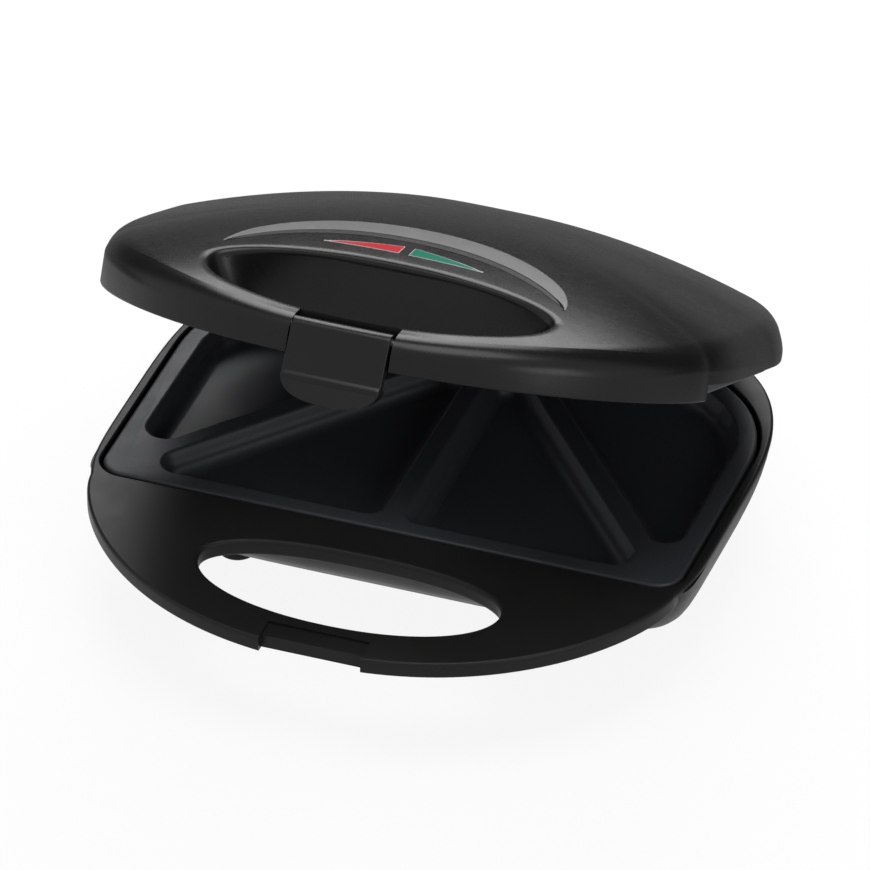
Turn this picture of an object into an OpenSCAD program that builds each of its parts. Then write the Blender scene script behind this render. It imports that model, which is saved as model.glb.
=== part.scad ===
// Sandwich toaster with a hinged lid: two housings with joined finger-hole handles,
// two non-stick plates with heaters, indicator lights and a swinging latch clip.
// The frame stands on the feet at z = 0, +Y points to the hinge, +X to the right.

/* [Housing] */
// Width of the lid's housing beside the plates, at its widest
lid_side_w = 8.2; // [7:0.1:13]
// Width of the base's housing beside the plates, at its widest
base_side_w = 5; // [4.5:0.1:9]
// Height of the parting plane, where the two handles meet
parting_h = 40; // [36:1:48]
// Height of the lid's crest over the parting plane
crest_h = 40.2; // [38:0.1:46]
// Wall thickness of the mouldings
wall = 2.5; // [1.8:0.1:3]
// Hindmost point of both housings, behind the frame's centre
rear_y = 85; // [84:1:92]
// Height of the lid's side skirts over the parting plane
skirt_gap = 6.5; // [5:0.5:8]
// Angle at which the lid stands open
lid_open = 27; // [20:0.5:35]

/* [Handles] */
// How far the ends of the lower handle stand out beside the plates
tip_w = 1; // [0:0.5:3]
// How far the handles reach in front of the plates
reach = 72; // [68:1:80]
// Thickness of the lower handle
handle_t = 6; // [5:0.5:8]
// Half-width of the finger hole
hole_half_w = 54; // [48:1:58]
// Width of the bar in front of the finger hole
bar_w = 16.5; // [15:0.5:20]
// Depth of the finger hole from front to back
hole_depth = 40.5; // [34:0.5:44]
// How far the lid's finger hole flares out at its top
hole_flare = 8.5; // [5:0.5:9]

/* [Plates] */
// Width of the cooking plates
plate_w = 210; // [204:1:212]
// Depth of the cooking plates
plate_d = 128; // [120:1:130]
// Height of the lower plate's rim over the parting plane
plate_proud = 0; // [-0.5:0.5:1]
// Gap between the two rims when the toaster is shut
rim_gap = 0.8; // [0.5:0.1:1.5]
// Height of the skirt round each plate
plate_skirt = 8.5; // [7:0.5:9.5]
// Thickness of the plate castings
plate_t = 2.8; // [2:0.1:3.2]
// Depth of the toast pockets
pocket_depth = 9; // [7:0.5:10]
// Width of the flat rim round the pockets
rim_w = 7; // [5:0.5:9]
// Diameter of the tubular heaters
heater_d = 6.5; // [5.5:0.5:7]

/* [Hinge and latch] */
// Height of the hinge axis under the parting plane
hinge_drop = 9; // [8:0.5:11]
// Distance of the hinge axis in front of the hindmost point
hinge_inset = 5; // [4:0.5:6]
// Distance of the two hinges from the middle
hinge_x = 38; // [36:1:46]
// Diameter of the hinge pins
hinge_pin_d = 4; // [3:0.5:5]
// Width of the lid's hinge lugs
lug_w = 13; // [10:1:15]
// Width of the latch clip
latch_w = 35; // [30:1:40]
// Thickness of the latch clip
latch_t = 3; // [2.5:0.1:3.5]
// Diameter of the latch pin
latch_pin_d = 3; // [2:0.5:3.5]
// Angle at which the latch clip hangs clear of its catch
latch_rest = 10; // [8:0.5:14]

/* [Feet and fittings] */
// Diameter of the feet
foot_d = 14; // [12:1:18]
// Height of the feet under the base
foot_h = 4.5; // [3:0.5:6]
// Distance of the feet from the middle, to the side
foot_x = 62; // [56:1:68]
// Distance of the feet from the middle, to the front and back
foot_y = 42; // [36:1:42]
// Bore of the cord gland
gland_bore_d = 7; // [6:0.5:8]
// Diameter of the plate screws
screw_d = 3.5; // [3:0.5:4]
// Diameter of the insulated leads
lead_d = 4; // [3:0.5:4.5]

/* [Hidden] */

black = "#1c1c1d";
steel = "#b9bcc0";
nonstick = "#33353a";
running = 0.05; // radial clearance of a pin in its bore
seat = 0.1; // gap between parts that are clamped together

// ---- places that several pieces share ----
half_w = plate_w / 2 + lid_side_w; // of the lid
base_half_w = plate_w / 2 + base_side_w;
tip_x = plate_w / 2 + tip_w; // end of the lower handle
lid_tip_x = tip_x + 2.5; // end of the lid's handle
plate_y0 = -65; // front edge of the plates
plate_y1 = plate_y0 + plate_d;
plate_mid_y = (plate_y0 + plate_y1) / 2;
mid_y = -15; // where the base is widest
lid_mid_y = -1; // where the lid is widest
crest_y = -7.5; // where the lid is highest
handle_y0 = plate_y0 - 2.5; // where the handle outline meets the sides
front_y = handle_y0 - reach;
hinge_y = rear_y - hinge_inset;
hinge_z = parting_h - hinge_drop;
lower_rim_z = parting_h + plate_proud;
upper_rim_z = lower_rim_z + rim_gap;
floor_z = foot_h;
hole_y0 = front_y + bar_w; // near edge of the finger holes
hole_y1 = hole_y0 + hole_depth;

// ---- outline of the housings, seen from above ----
function sgn(v) = v < 0 ? -1 : 1;
function power(v, n) = sgn(v) * pow(abs(v), n);

// Front edge of the handles at a distance x from the middle, drawn in by inset
function handle_edge(x, inset = 0, tip = tip_x) =
    handle_y0 - (reach - inset) * pow(1 - pow(min(1, abs(x) / (tip - inset)), 2.22), 0.67);

handle_steps = 28;
side_steps = 6;
rear_steps = 28;
// Outline as a list of points, from the left handle tip round the front to the left side;
// a and b are the half-width and the handle's end, nx and ny round off the rear corners
function outline(inset, a, b, bulge, mid, nx, ny) = concat(
    [for (i = [0:handle_steps])
        let (x = (b - inset) * sin(-90 + 180 * i / handle_steps)) [x, handle_edge(x, inset, b)]],
    [for (i = [1:side_steps - 1]) side_point(i / side_steps, inset, a, b, bulge, 1, mid)],
    [for (i = [0:rear_steps])
        let (q = 180 * i / rear_steps)
            [(a - inset) * power(cos(q), 2 / nx),
             mid + (rear_y - inset - mid) * pow(sin(q), 2 / ny)]],
    [for (i = [side_steps - 1:-1:1]) side_point(i / side_steps, inset, a, b, bulge, -1, mid)]
);
function side_point(t, inset, a, b, bulge, side, mid) =
    [side * (b - inset + (a - b) * (1 - pow(1 - t, bulge))),
     handle_y0 + (mid - handle_y0) * t];
function base_outline(inset = 0) = outline(inset, base_half_w, tip_x, 5, mid_y, 3.3, 3.3);
function lid_outline(inset = 0) = outline(inset, half_w, lid_tip_x, 6, lid_mid_y, 3.32, 1.67);

// Closed solid through rings of points; each end is closed with a fan to its centre
module loft(rings, bottom, top) {
    n = len(rings[0]);
    m = len(rings);
    polyhedron(
        points = concat([for (r = rings) each r], [bottom, top]),
        faces = concat(
            [for (k = [0:m - 2]) for (i = [0:n - 1]) for (half = [0, 1])
                let (a = k * n + i, b = k * n + (i + 1) % n)
                    half == 0 ? [a, a + n, b] : [b, a + n, b + n]],
            [for (i = [0:n - 1]) [(i + 1) % n, m * n, i]],
            [for (i = [0:n - 1]) [(m - 1) * n + i, m * n + 1, (m - 1) * n + (i + 1) % n]]
        )
    );
}

// Round-cornered rectangle as a ring of points at height z
function rect_ring(w, d, r, z, cy = 0, steps = 4) = [
    for (q = [0:3]) for (i = [0:steps])
        let (a = 90 * q + 90 * i / steps, sx = (q == 0 || q == 3) ? 1 : -1, sy = q < 2 ? 1 : -1)
            [sx * (w / 2 - r) + r * cos(a), cy + sy * (d / 2 - r) + r * sin(a), z]
];

// Tube of 8 sides along a route of points
function unit(v) = v / norm(v);
module lead(route, d) {
    n = len(route);
    rings = [for (k = [0:n - 1])
        let (t = unit(route[min(k + 1, n - 1)] - route[max(k - 1, 0)]),
             ref = abs(t.x) > 0.9 ? [0, 0, 1] : [1, 0, 0],
             u = unit(cross(t, ref)), v = cross(t, u))
            [for (i = [0:7]) route[k] + d / 2 * (cos(-45 * i) * u + sin(-45 * i) * v)]];
    loft(rings, route[0], route[n - 1]);
}

// Pan-head screw: the head sits over z = 0 and the shank goes down
module screw(d, length, head_d, head_h) {
    difference() {
        union() {
            translate([0, 0, -length]) cylinder(d = d, h = length + head_h / 2, $fn = 32);
            cylinder(d = head_d, h = head_h, $fn = 32);
        }
        for (a = [0, 90]) rotate(a)
            translate([-head_d * 0.3, -head_d * 0.07, head_h * 0.45])
                cube([head_d * 0.6, head_d * 0.14, head_h]);
    }
}

// Outline of the cooking plates: tight corners in front, wide ones behind, arcs at all four
plate_r0 = 9;
plate_r1 = 48;
module plate_outline(grow) {
    w = plate_w / 2 + grow;
    y0 = plate_y0 - grow;
    y1 = plate_y1 + grow;
    r0 = plate_r0 + grow;
    r1 = plate_r1 + grow;
    polygon([[-w, y0 + r0], [-w + r0, y0], [w - r0, y0], [w, y0 + r0],
             [w, y1 - r1], [w - r1, y1], [-w + r1, y1], [-w, y1 - r1]]);
    for (s = [-1, 1]) {
        translate([s * (w - r0), y0 + r0]) circle(r = r0, $fn = 48);
        translate([s * (w - r1), y1 - r1]) circle(r = r1, $fn = 96);
    }
}

// Sets a piece so that the open toaster stands in the middle of the frame
module placed() { translate([0, frame_y, 0]) children(); }
// The lid and all that rides with it, turned open about the hinge axis
module opened() {
    placed() translate([0, hinge_y, hinge_z]) rotate([-lid_open, 0, 0])
        translate([0, -hinge_y, -hinge_z]) children();
}

// =====================================================================
// Finger holes
// =====================================================================

hole_mid_y = hole_y0 + 0.6 * hole_depth; // line of the hole's two round ends
bar_h = 15.5; // height of the lid's bar over the parting plane
hole_slope = 0.36; // rise of the hole's upper rim from front to back
hole_steps = 14;
// Ring of the finger hole: lift 0 is the parting plane and 1 the rim on the lid
function hole_ring(lift, pad = 0, sink = 0) =
    let (flare = hole_flare * pow(lift, 1.5), w = hole_half_w + flare + pad,
         ym = hole_mid_y - 0.25 * flare, near = 0.6 * hole_depth + 0.28 * flare + pad,
         far = 0.4 * hole_depth - 0.63 * flare + pad,
         flat = concat(
            [for (i = [0:hole_steps]) let (a = 180 + 180 * i / hole_steps)
                [w * power(cos(a), 0.95), ym + near * sin(a)]],
            [for (i = [1:hole_steps - 1]) let (a = 180 * i / hole_steps)
                [w * power(cos(a), 0.8), ym + far * sin(a)]]))
    [for (p = flat) [p.x, p.y, parting_h - sink + lift * (bar_h + hole_slope * (p.y - ym + near))]];

module hole_column(z0, z1) {
    loft([hole_ring(0, 0, parting_h - z0), hole_ring(0, 0, parting_h - z1)],
         [0, hole_mid_y, z0], [0, hole_mid_y, z1]);
}

// =====================================================================
// Base: lower housing with its handle
// =====================================================================

// The bowl under the rim: [height, inset at the sides and back, front edge, corner exponent]
bowl_front = plate_y0 - wall - 2.3;
bowl_levels = [
    [floor_z, 22, 20.4, 5], [floor_z + 1.2, 18.5, 18.2, 5.5], [floor_z + 4, 15, 15, 6],
    [14, 9.4, 9.4, 7], [20, 5.8, 5.8, 8], [27, 2.8, 2.8, 9], [parting_h - 6, 0.8, 1, 11],
    [parting_h - 2, 0.2, 0.2, 12]
];
bowl_steps = 64;
function bowl_ring(level, inset, z) = [
    for (i = [0:bowl_steps - 1])
        let (a = 360 * i / bowl_steps - 90,
             n = sin(a) < 0 ? level[3] : 3.3,
             depth = sin(a) < 0 ? mid_y - bowl_front - level[2] : rear_y - level[1] * 0.8 - mid_y)
            [(base_half_w - level[1] - inset) * power(cos(a), 2 / n),
             mid_y + (depth - inset) * power(sin(a), 2 / n), z]
];

module bowl() {
    loft([for (l = bowl_levels) bowl_ring(l, 0, l[0])],
         [0, 0, floor_z], [0, 0, parting_h - 2]);
}

module bowl_cavity() {
    loft([bowl_ring(bowl_levels[1], wall, floor_z + wall),
          for (l = bowl_levels) if (l[0] > floor_z + 3) bowl_ring(l, wall, l[0]),
          bowl_ring(bowl_levels[len(bowl_levels) - 1], wall, parting_h + 1)],
         [0, 0, floor_z + wall], [0, 0, parting_h + 1]);
}

plate_gap = 1.2; // gap round the lower plate's skirt in the deck
// Notch in both handles for the latch clip
notch_half_w = latch_w / 2 + 0.8;
notch_depth = latch_t + 1.3;

// Hinge slots of the base, where the lid's lugs swing through
slot_w = lug_w + 1.2;
cheek_t = 4.5; // thickness of one ear of a hinge block
barrel_r = 6;
block_w = slot_w + 2 * cheek_t;
block_floor = 2; // thickness of a hinge block's sole
block_y0 = hinge_y - barrel_r - 9.5; // front edge of the hinge blocks
block_screw_y = block_y0 + 4.5;
shelf_z = hinge_z - barrel_r - block_floor - 0.5; // top of the shelf they are screwed on

// Ears behind the plates, by which they are screwed down
ear_x = 62;
ear_w = 12;
ear_reach = 9.5;
ear_u = 3.4; // depth of the ears under the plate's rim
ear_t = 2.2;
ear_screw_y = plate_y1 + 5;
tongue_x = 42;
tongue_w = 14;
tongue_reach = 5;
tongue_t = 1.6;

module base_handle() {
    linear_extrude(height = handle_t) polygon(concat(
        [for (i = [0:handle_steps])
            let (x = tip_x * sin(-90 + 180 * i / handle_steps)) [x, handle_edge(x)]],
        [[tip_x, plate_y0 + 1], [-tip_x, plate_y0 + 1]]));
}

module base_shell() {
    color(black) placed() difference() {
        union() {
            difference() {
                union() {
                    bowl();
                    translate([0, 0, parting_h - wall])
                        linear_extrude(height = wall) polygon(base_outline());
                    translate([0, 0, parting_h - handle_t]) base_handle();
                }
                difference() {
                    bowl_cavity();
                    translate([-half_w, front_y, parting_h - wall])
                        cube([2 * half_w, rear_y - front_y, 2 * wall]);
                }
            }
            // Posts under the plate's ears, and seats for the feet and the reflector
            intersection() {
                bowl();
                for (s = [-1, 1]) {
                    translate([s * ear_x, ear_screw_y, floor_z])
                        cylinder(d = 9, h = lower_rim_z - ear_u - ear_t - floor_z - seat, $fn = 48);
                    translate([s * hinge_x - block_w / 2 - 1.5, block_y0 - 1.5, floor_z])
                        cube([block_w + 3, 30, shelf_z - floor_z]);
                }
            }
            for (sx = [-1, 1]) for (sy = [-1, 1]) translate([sx * foot_x, sy * foot_y, floor_z])
                cylinder(d = foot_d, h = wall + 2, $fn = 48);
            // Boss of the cord gland in the back wall
            translate([gland_x, gland_y - 9, gland_z]) rotate([-90, 0, 0])
                cylinder(d = gland_d + 5, h = 9, $fn = 48);
            // Ribs that carry the terminal block and the cord clamp
            translate([term_x - 16, term_y - 7, floor_z + 1]) cube([32, 14, term_z - floor_z - 1]);
        }
        // Opening for the lower plate
        translate([0, 0, lower_rim_z - plate_skirt - 0.5]) linear_extrude(height = plate_skirt + 5)
            plate_outline(plate_gap);
        // Finger hole
        hole_column(parting_h - handle_t - 1, parting_h + 1);
        // Latch notch: a shallow step in the top, and a deep one in the front edge
        translate([-notch_half_w, front_y - 1, parting_h - handle_t - 1])
            cube([2 * notch_half_w, notch_depth + 1, handle_t + 2]);
        translate([-notch_half_w, front_y - 1, parting_h - 1])
            cube([2 * notch_half_w, notch_depth + 8, 2]);
        // Slots for the hinge blocks, and one for the leads
        for (s = [-1, 1]) {
            translate([s * hinge_x - block_w / 2, block_y0, shelf_z]) cube([block_w, 40, 40]);
            translate([s * hinge_x, block_screw_y, shelf_z - 10])
                cylinder(r = 1.5 + running, h = 20, $fn = 32);
        }
        translate([lead_slot_x0, hinge_y - 7, hinge_z - 4]) cube([lead_slot_w, 40, 40]);
        // Pockets for the plate's ears and tongues
        for (s = [-1, 1]) {
            translate([s * ear_x - ear_w / 2 - 1, plate_y1, lower_rim_z - ear_u - ear_t])
                cube([ear_w + 2, ear_reach + 1, 20]);
            translate([s * tongue_x - tongue_w / 2 - 0.5, plate_y0 - tongue_reach - 0.5,
                       lower_rim_z - ear_u - tongue_t - seat])
                cube([tongue_w + 1, tongue_reach + 4, tongue_t + 2 * seat]);
            translate([s * ear_x, ear_screw_y, lower_rim_z - ear_u - ear_t - 14])
                cylinder(r = screw_d / 2 + running, h = 15, $fn = 32);
        }
        // Peg holes of the feet
        for (sx = [-1, 1]) for (sy = [-1, 1]) translate([sx * foot_x, sy * foot_y, floor_z - 1])
            cylinder(r = foot_peg_d / 2 + running, h = 20, $fn = 32);
        // Bore of the cord gland's boss
        translate([gland_x, gland_y - 30, gland_z]) rotate([-90, 0, 0])
            cylinder(d = gland_d + 2 * running, h = 40, $fn = 48);
        // Vent slots in the floor
        for (sx = [-1, 1]) for (i = [-3:3]) translate([sx * 30 - 12, i * 8 - 1.25, floor_z - 1])
            cube([24, 2.5, wall + 2]);
    }
}

foot_peg_d = 6;
module rubber_feet() {
    color("#2a2a2a") placed() for (sx = [-1, 1]) for (sy = [-1, 1])
    translate([sx * foot_x, sy * foot_y, 0]) {
        cylinder(d1 = foot_d - 2, d2 = foot_d, h = 1, $fn = 48);
        translate([0, 0, 1]) cylinder(d = foot_d, h = foot_h - 1, $fn = 48);
        translate([0, 0, foot_h - 0.5]) cylinder(d = foot_peg_d, h = wall + 2, $fn = 48);
    }
}

// Black clevis blocks that carry the hinge pins, one in each slot of the base
module base_hinge_blocks() {
    color(black) placed() for (s = [-1, 1]) translate([s * hinge_x, hinge_y, hinge_z]) difference() {
        union() {
            for (c = [-1, 1]) translate([c * (slot_w + cheek_t) / 2, 0, 0]) {
                rotate([0, 90, 0]) cylinder(r = barrel_r, h = cheek_t - 2 * seat, center = true, $fn = 64);
                translate([-cheek_t / 2 + seat, -barrel_r, shelf_z + seat - hinge_z])
                    cube([cheek_t - 2 * seat, barrel_r + 1.5, hinge_z - shelf_z - seat]);
            }
            translate([-block_w / 2 + seat, block_y0 + seat - hinge_y, shelf_z + seat - hinge_z])
                cube([block_w - 2 * seat, hinge_y - block_y0 + 1.5 - seat, block_floor - seat]);
        }
        rotate([0, 90, 0]) cylinder(r = hinge_pin_d / 2 + running, h = 60, center = true, $fn = 48);
        translate([0, block_screw_y - hinge_y, -30]) cylinder(r = 1.75, h = 40, $fn = 32);
    }
}

module hinge_block_screws() {
    color(steel) placed() for (s = [-1, 1])
        translate([s * hinge_x, block_screw_y, shelf_z + block_floor]) screw(3, 9, 5.5, 1.8);
}

module hinge_pins() {
    color(steel) placed() for (s = [-1, 1]) translate([s * hinge_x, hinge_y, hinge_z]) rotate([0, 90, 0])
        cylinder(d = hinge_pin_d, h = block_w - 1, center = true, $fn = 48);
}

// =====================================================================
// Cooking plates and what is fixed to them, drawn from the rim away from the food:
// u = 0 is the rim and u grows towards the housing
// =====================================================================

tub_u = pocket_depth + plate_t; // back of the toast tubs
heater_u = tub_u + seat + heater_d / 2;
strap_u = heater_u + heater_d / 2 + seat;
strap_t = 1;
pan_u = strap_u + strap_t + 3.4; // inside of the reflector's floor
pan_t = 0.8;
pan_w0 = plate_w - 20;
pan_w1 = plate_w * 0.66;
pan_d0 = plate_d - 18;
pan_d1 = plate_d * 0.6;
stud_y = 30;
strap_x = plate_w * 0.19;
post_d = 8;

// Places a piece for the lower half, or mirrored for the upper half
module lower() { placed() translate([0, 0, lower_rim_z]) mirror([0, 0, 1]) children(); }
module upper() { opened() translate([0, 0, upper_rim_z]) children(); }

toast_x0 = rim_w / 2; // inner edge of a toast pocket
toast_x1 = plate_w / 2 - rim_w; // outer edge
toast_y0 = plate_y0 + rim_w;
toast_y1 = plate_y1 - rim_w;
toast_x = (toast_x0 + toast_x1) / 2;
ridge = 3.5; // how far each triangle keeps from the diagonal
pocket_r = 7; // radius of the pockets' corners at the rim
pocket_ball = 4.5; // radius of the pockets' corners at the bottom

// One triangular pocket: a hollow with sloping sides, round at its corners and at its bottom
module pocket(centres) {
    hull() for (c = centres) translate([c.x, c.y, 0]) {
        translate([0, 0, pocket_depth - pocket_ball]) sphere(r = pocket_ball, $fn = 24);
        translate([0, 0, -1]) cylinder(r = pocket_r, h = 1.5, $fn = 32);
    }
}
module pockets(s) {
    r = pocket_r;
    // The diagonal's direction, and how far a ball's centre keeps from its two ends
    d = norm([toast_x1 - toast_x0, toast_y1 - toast_y0]);
    ax = (r + ridge) * d / (toast_y1 - toast_y0) + r * (toast_x1 - toast_x0) / (toast_y1 - toast_y0);
    ay = (r + ridge) * d / (toast_x1 - toast_x0) + r * (toast_y1 - toast_y0) / (toast_x1 - toast_x0);
    turn = plate_r1 - rim_w - r; // radius of the ball centres round the wide corner
    cx = plate_w / 2 - plate_r1;
    cy = plate_y1 - plate_r1;
    pocket([[s * (toast_x0 + r), toast_y0 + r], [s * (toast_x1 - ax), toast_y0 + r],
            [s * (toast_x0 + r), toast_y1 - ay]]);
    pocket(concat([[s * (toast_x1 - r), toast_y0 + ay], [s * (toast_x0 + ax), toast_y1 - r]],
                  [for (a = [8, 45, 82]) [s * (cx + turn * cos(a)), cy + turn * sin(a)]]));
}

// Outline of the tub behind both toast pockets of one side
module tub_outline(s) {
    g = 2.2;
    r0 = 9;
    r1 = plate_r1 - rim_w + g;
    x0 = toast_x0 - g;
    x1 = toast_x1 + g;
    y0 = toast_y0 - g;
    y1 = toast_y1 + g;
    mirror([s < 0 ? 1 : 0, 0, 0]) {
        polygon([[x0, y0 + r0], [x0 + r0, y0], [x1 - r0, y0], [x1, y0 + r0],
                 [x1, y1 - r1], [x1 - r1, y1], [x0 + r0, y1], [x0, y1 - r0]]);
        for (c = [[x0 + r0, y0 + r0], [x1 - r0, y0 + r0], [x0 + r0, y1 - r0]])
            translate(c) circle(r = r0, $fn = 48);
        translate([x1 - r1, y1 - r1]) circle(r = r1, $fn = 96);
    }
}

module plate() {
    difference() {
        union() {
            difference() {
                linear_extrude(height = plate_skirt) plate_outline(0);
                translate([0, 0, plate_t]) linear_extrude(height = plate_skirt) plate_outline(-plate_t);
            }
            // Tubs behind the toast pockets
            for (s = [-1, 1]) translate([0, 0, plate_t - 0.5])
                linear_extrude(height = tub_u - plate_t + 0.5) tub_outline(s);
            // Studs for the heater straps and for the reflector
            for (s = [-1, 1]) {
                translate([s * strap_x, plate_mid_y, tub_u - 1])
                    cylinder(d = post_d, h = strap_u - tub_u + 1 - seat, $fn = 48);
                translate([0, plate_mid_y + s * stud_y, plate_t - 0.5])
                    cylinder(d = 6.5, h = pan_u - plate_t + 0.5 - seat, $fn = 48);
                // Ears behind and tongues in front
                translate([s * ear_x - ear_w / 2, plate_y1 - 2.5, ear_u])
                    cube([ear_w, ear_reach + 2.5, ear_t]);
                translate([s * tongue_x - tongue_w / 2, plate_y0 - tongue_reach, ear_u])
                    cube([tongue_w, tongue_reach + 1, tongue_t]);
            }
        }
        // Four pockets: a diagonal ridge parts each toast into two triangles
        for (s = [-1, 1]) {
            pockets(s);
            translate([s * strap_x, plate_mid_y, tub_u])
                cylinder(r = screw_d / 2 + running, h = 20, $fn = 32);
            translate([0, plate_mid_y + s * stud_y, plate_t + 4])
                cylinder(r = screw_d / 2 + running, h = 30, $fn = 32);
            translate([s * ear_x, ear_screw_y, ear_u - 1])
                cylinder(r = screw_d / 2 + 0.25, h = ear_t + 2, $fn = 32);
        }
    }
}

heater_loop_w = plate_w * 0.66;
heater_loop_d = plate_d * 0.56;
heater_bend = 20;
heater_leg = 10; // half the distance of the two ends
heater_end_y = plate_y1 - 14;
loop_y0 = plate_mid_y - heater_loop_d / 2;
loop_y1 = plate_mid_y + heater_loop_d / 2 - 6;

// A quarter bend of the heater tube about a centre, from angle a to a + 90
module bend(cx, cy, r, a) {
    translate([cx, cy, heater_u]) rotate(a) rotate_extrude(angle = 90, $fn = 64)
        translate([r, 0]) circle(d = heater_d, $fn = 32);
}
// A straight run of the heater tube
module run(p, q, d = heater_d) {
    v = q - p;
    translate([p.x, p.y, heater_u]) rotate([0, 0, atan2(v.y, v.x)]) rotate([0, 90, 0])
        cylinder(d = d, h = norm(v), $fn = 32);
}

// Sheathed heater, one open loop; its two cold ends point to the back
module heater() {
    x = heater_loop_w / 2;
    b = heater_bend;
    c = 10;
    for (s = [-1, 1]) {
        bend(s * (x - b), loop_y0 + b, b, s > 0 ? 270 : 180);
        bend(s * (x - b), loop_y1 - b, b, s > 0 ? 0 : 90);
        run([s * x, loop_y0 + b], [s * x, loop_y1 - b]);
        run([s * (x - b), loop_y1], [s * (heater_leg + c), loop_y1]);
        bend(s * (heater_leg + c), loop_y1 + c, c, s > 0 ? 180 : 270);
        run([s * heater_leg, loop_y1 + c], [s * heater_leg, heater_end_y]);
        run([s * heater_leg, heater_end_y], [s * heater_leg, heater_end_y + 6], 2.5);
    }
    run([-x + b, loop_y0], [x - b, loop_y0]);
}

// Steel straps that press the heater on the tubs
module heater_straps() {
    for (s = [-1, 1]) translate([s * strap_x, 0, strap_u]) difference() {
        translate([-6, loop_y0 - 5, 0]) cube([12, loop_y1 - loop_y0 + 10, strap_t]);
        translate([0, plate_mid_y, -1]) cylinder(r = screw_d / 2 + 0.25, h = 4, $fn = 32);
    }
}

module strap_screws() {
    for (s = [-1, 1]) translate([s * strap_x, plate_mid_y, strap_u + strap_t])
        screw(screw_d, 5, 7, 2.2);
}

// Bright sheet-steel pan that throws the heat back at the plate
module reflector() {
    function pan(g) = [
        rect_ring(pan_w0 - 2 * g, pan_d0 - 2 * g, 24, tub_u + 0.3 + (g > 0 ? -1 : 0), plate_mid_y),
        rect_ring(pan_w0 - 2 * g, pan_d0 - 2 * g, 24, tub_u + 2, plate_mid_y),
        rect_ring(pan_w1 - 2 * g, pan_d1 - 2 * g, 14, pan_u + pan_t - g, plate_mid_y)];
    difference() {
        loft(pan(0), [0, plate_mid_y, tub_u + 0.3], [0, plate_mid_y, pan_u + pan_t]);
        loft(pan(pan_t), [0, plate_mid_y, tub_u - 0.7], [0, plate_mid_y, pan_u]);
        for (s = [-1, 1]) {
            translate([0, plate_mid_y + s * stud_y, pan_u - 1])
                cylinder(r = screw_d / 2 + 0.25, h = 4, $fn = 32);
            translate([s * heater_leg, plate_y1 - 30, heater_u]) rotate([-90, 0, 0])
                cylinder(d = heater_d + 1, h = 40, $fn = 32);
        }
    }
}

module reflector_screws() {
    for (s = [-1, 1]) translate([0, plate_mid_y + s * stud_y, pan_u + pan_t])
        screw(screw_d, 8, 7, 2.2);
}

module plate_screws() {
    for (s = [-1, 1]) translate([s * ear_x, ear_screw_y, ear_u]) mirror([0, 0, 1])
        screw(screw_d, 12, 7, 2.2);
}

module lower_plate() { color(nonstick) lower() plate(); }
module lower_heater() { color("#8f9296") lower() heater(); }
module lower_heater_straps() { color(steel) lower() heater_straps(); }
module lower_strap_screws() { color(steel) lower() strap_screws(); }
module lower_reflector() { color("#cfd2d6") lower() reflector(); }
module lower_reflector_screws() { color(steel) lower() reflector_screws(); }
module lower_plate_screws() { color(steel) lower() plate_screws(); }
module upper_plate() { color(nonstick) upper() plate(); }
module upper_heater() { color("#8f9296") upper() heater(); }
module upper_heater_straps() { color(steel) upper() heater_straps(); }
module upper_strap_screws() { color(steel) upper() strap_screws(); }
module upper_reflector() { color("#cfd2d6") upper() reflector(); }
module upper_reflector_screws() { color(steel) upper() reflector_screws(); }
module upper_plate_screws() { color(steel) upper() plate_screws(); }

// =====================================================================
// Mains fittings in the back of the base
// =====================================================================

gland_x = -22;
gland_z = 16;
gland_d = gland_bore_d + 4;
gland_y = rear_y - 3; // outer face of the gland's boss
term_x = 8;
term_y = plate_y1 - 11;
term_z = floor_z + wall + 2;
lead_slot_x0 = -12;
lead_slot_w = 34;

// Grommet that lines the cord's way through the back wall
module cord_gland() {
    color("#262626") placed() translate([gland_x, gland_y, gland_z]) rotate([-90, 0, 0]) difference() {
        union() {
            translate([0, 0, seat]) cylinder(d = gland_d + 4, h = 2, $fn = 64);
            translate([0, 0, -11]) cylinder(d = gland_d, h = 11 + seat, $fn = 64);
        }
        translate([0, 0, -20]) cylinder(d = gland_bore_d, h = 40, $fn = 64);
    }
}

module terminal_block() {
    color("#e8e4d8") placed() difference() {
        translate([term_x - 15, term_y - 6, term_z]) cube([30, 12, 9]);
        for (i = [-1:1]) translate([term_x + i * 9, term_y - 10, term_z + 3.5]) rotate([-90, 0, 0])
            cylinder(d = 3.5, h = 20, $fn = 32);
        for (i = [-1:1]) for (s = [-1, 1]) translate([term_x + i * 9, term_y + s * 3, term_z + 5])
            cylinder(d = 3, h = 8, $fn = 32);
    }
}

// Bridge that holds the cord inside the base, on two screws
clamp_y = block_y0 - 5.7;
clamp_z = gland_z - 4.5;
module cord_clamp() {
    color(black) placed() difference() {
        translate([gland_x - 13, clamp_y - 4, floor_z + wall])
            cube([26, 8, gland_z + 7 - floor_z - wall]);
        translate([gland_x, clamp_y - 5, gland_z]) rotate([-90, 0, 0])
            cylinder(d = gland_bore_d + 0.6, h = 10, $fn = 48);
        for (s = [-1, 1]) translate([gland_x + s * 9, clamp_y, gland_z - 6])
            cylinder(r = 1.5 + running, h = 20, $fn = 32);
    }
}

module cord_clamp_screws() {
    color(steel) placed() for (s = [-1, 1]) translate([gland_x + s * 9, clamp_y, gland_z + 7])
        screw(3, 12, 5.5, 1.8);
}

lead_axis_x = lead_slot_x0 + 18; // where the base's lead ends on the hinge axis
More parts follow.
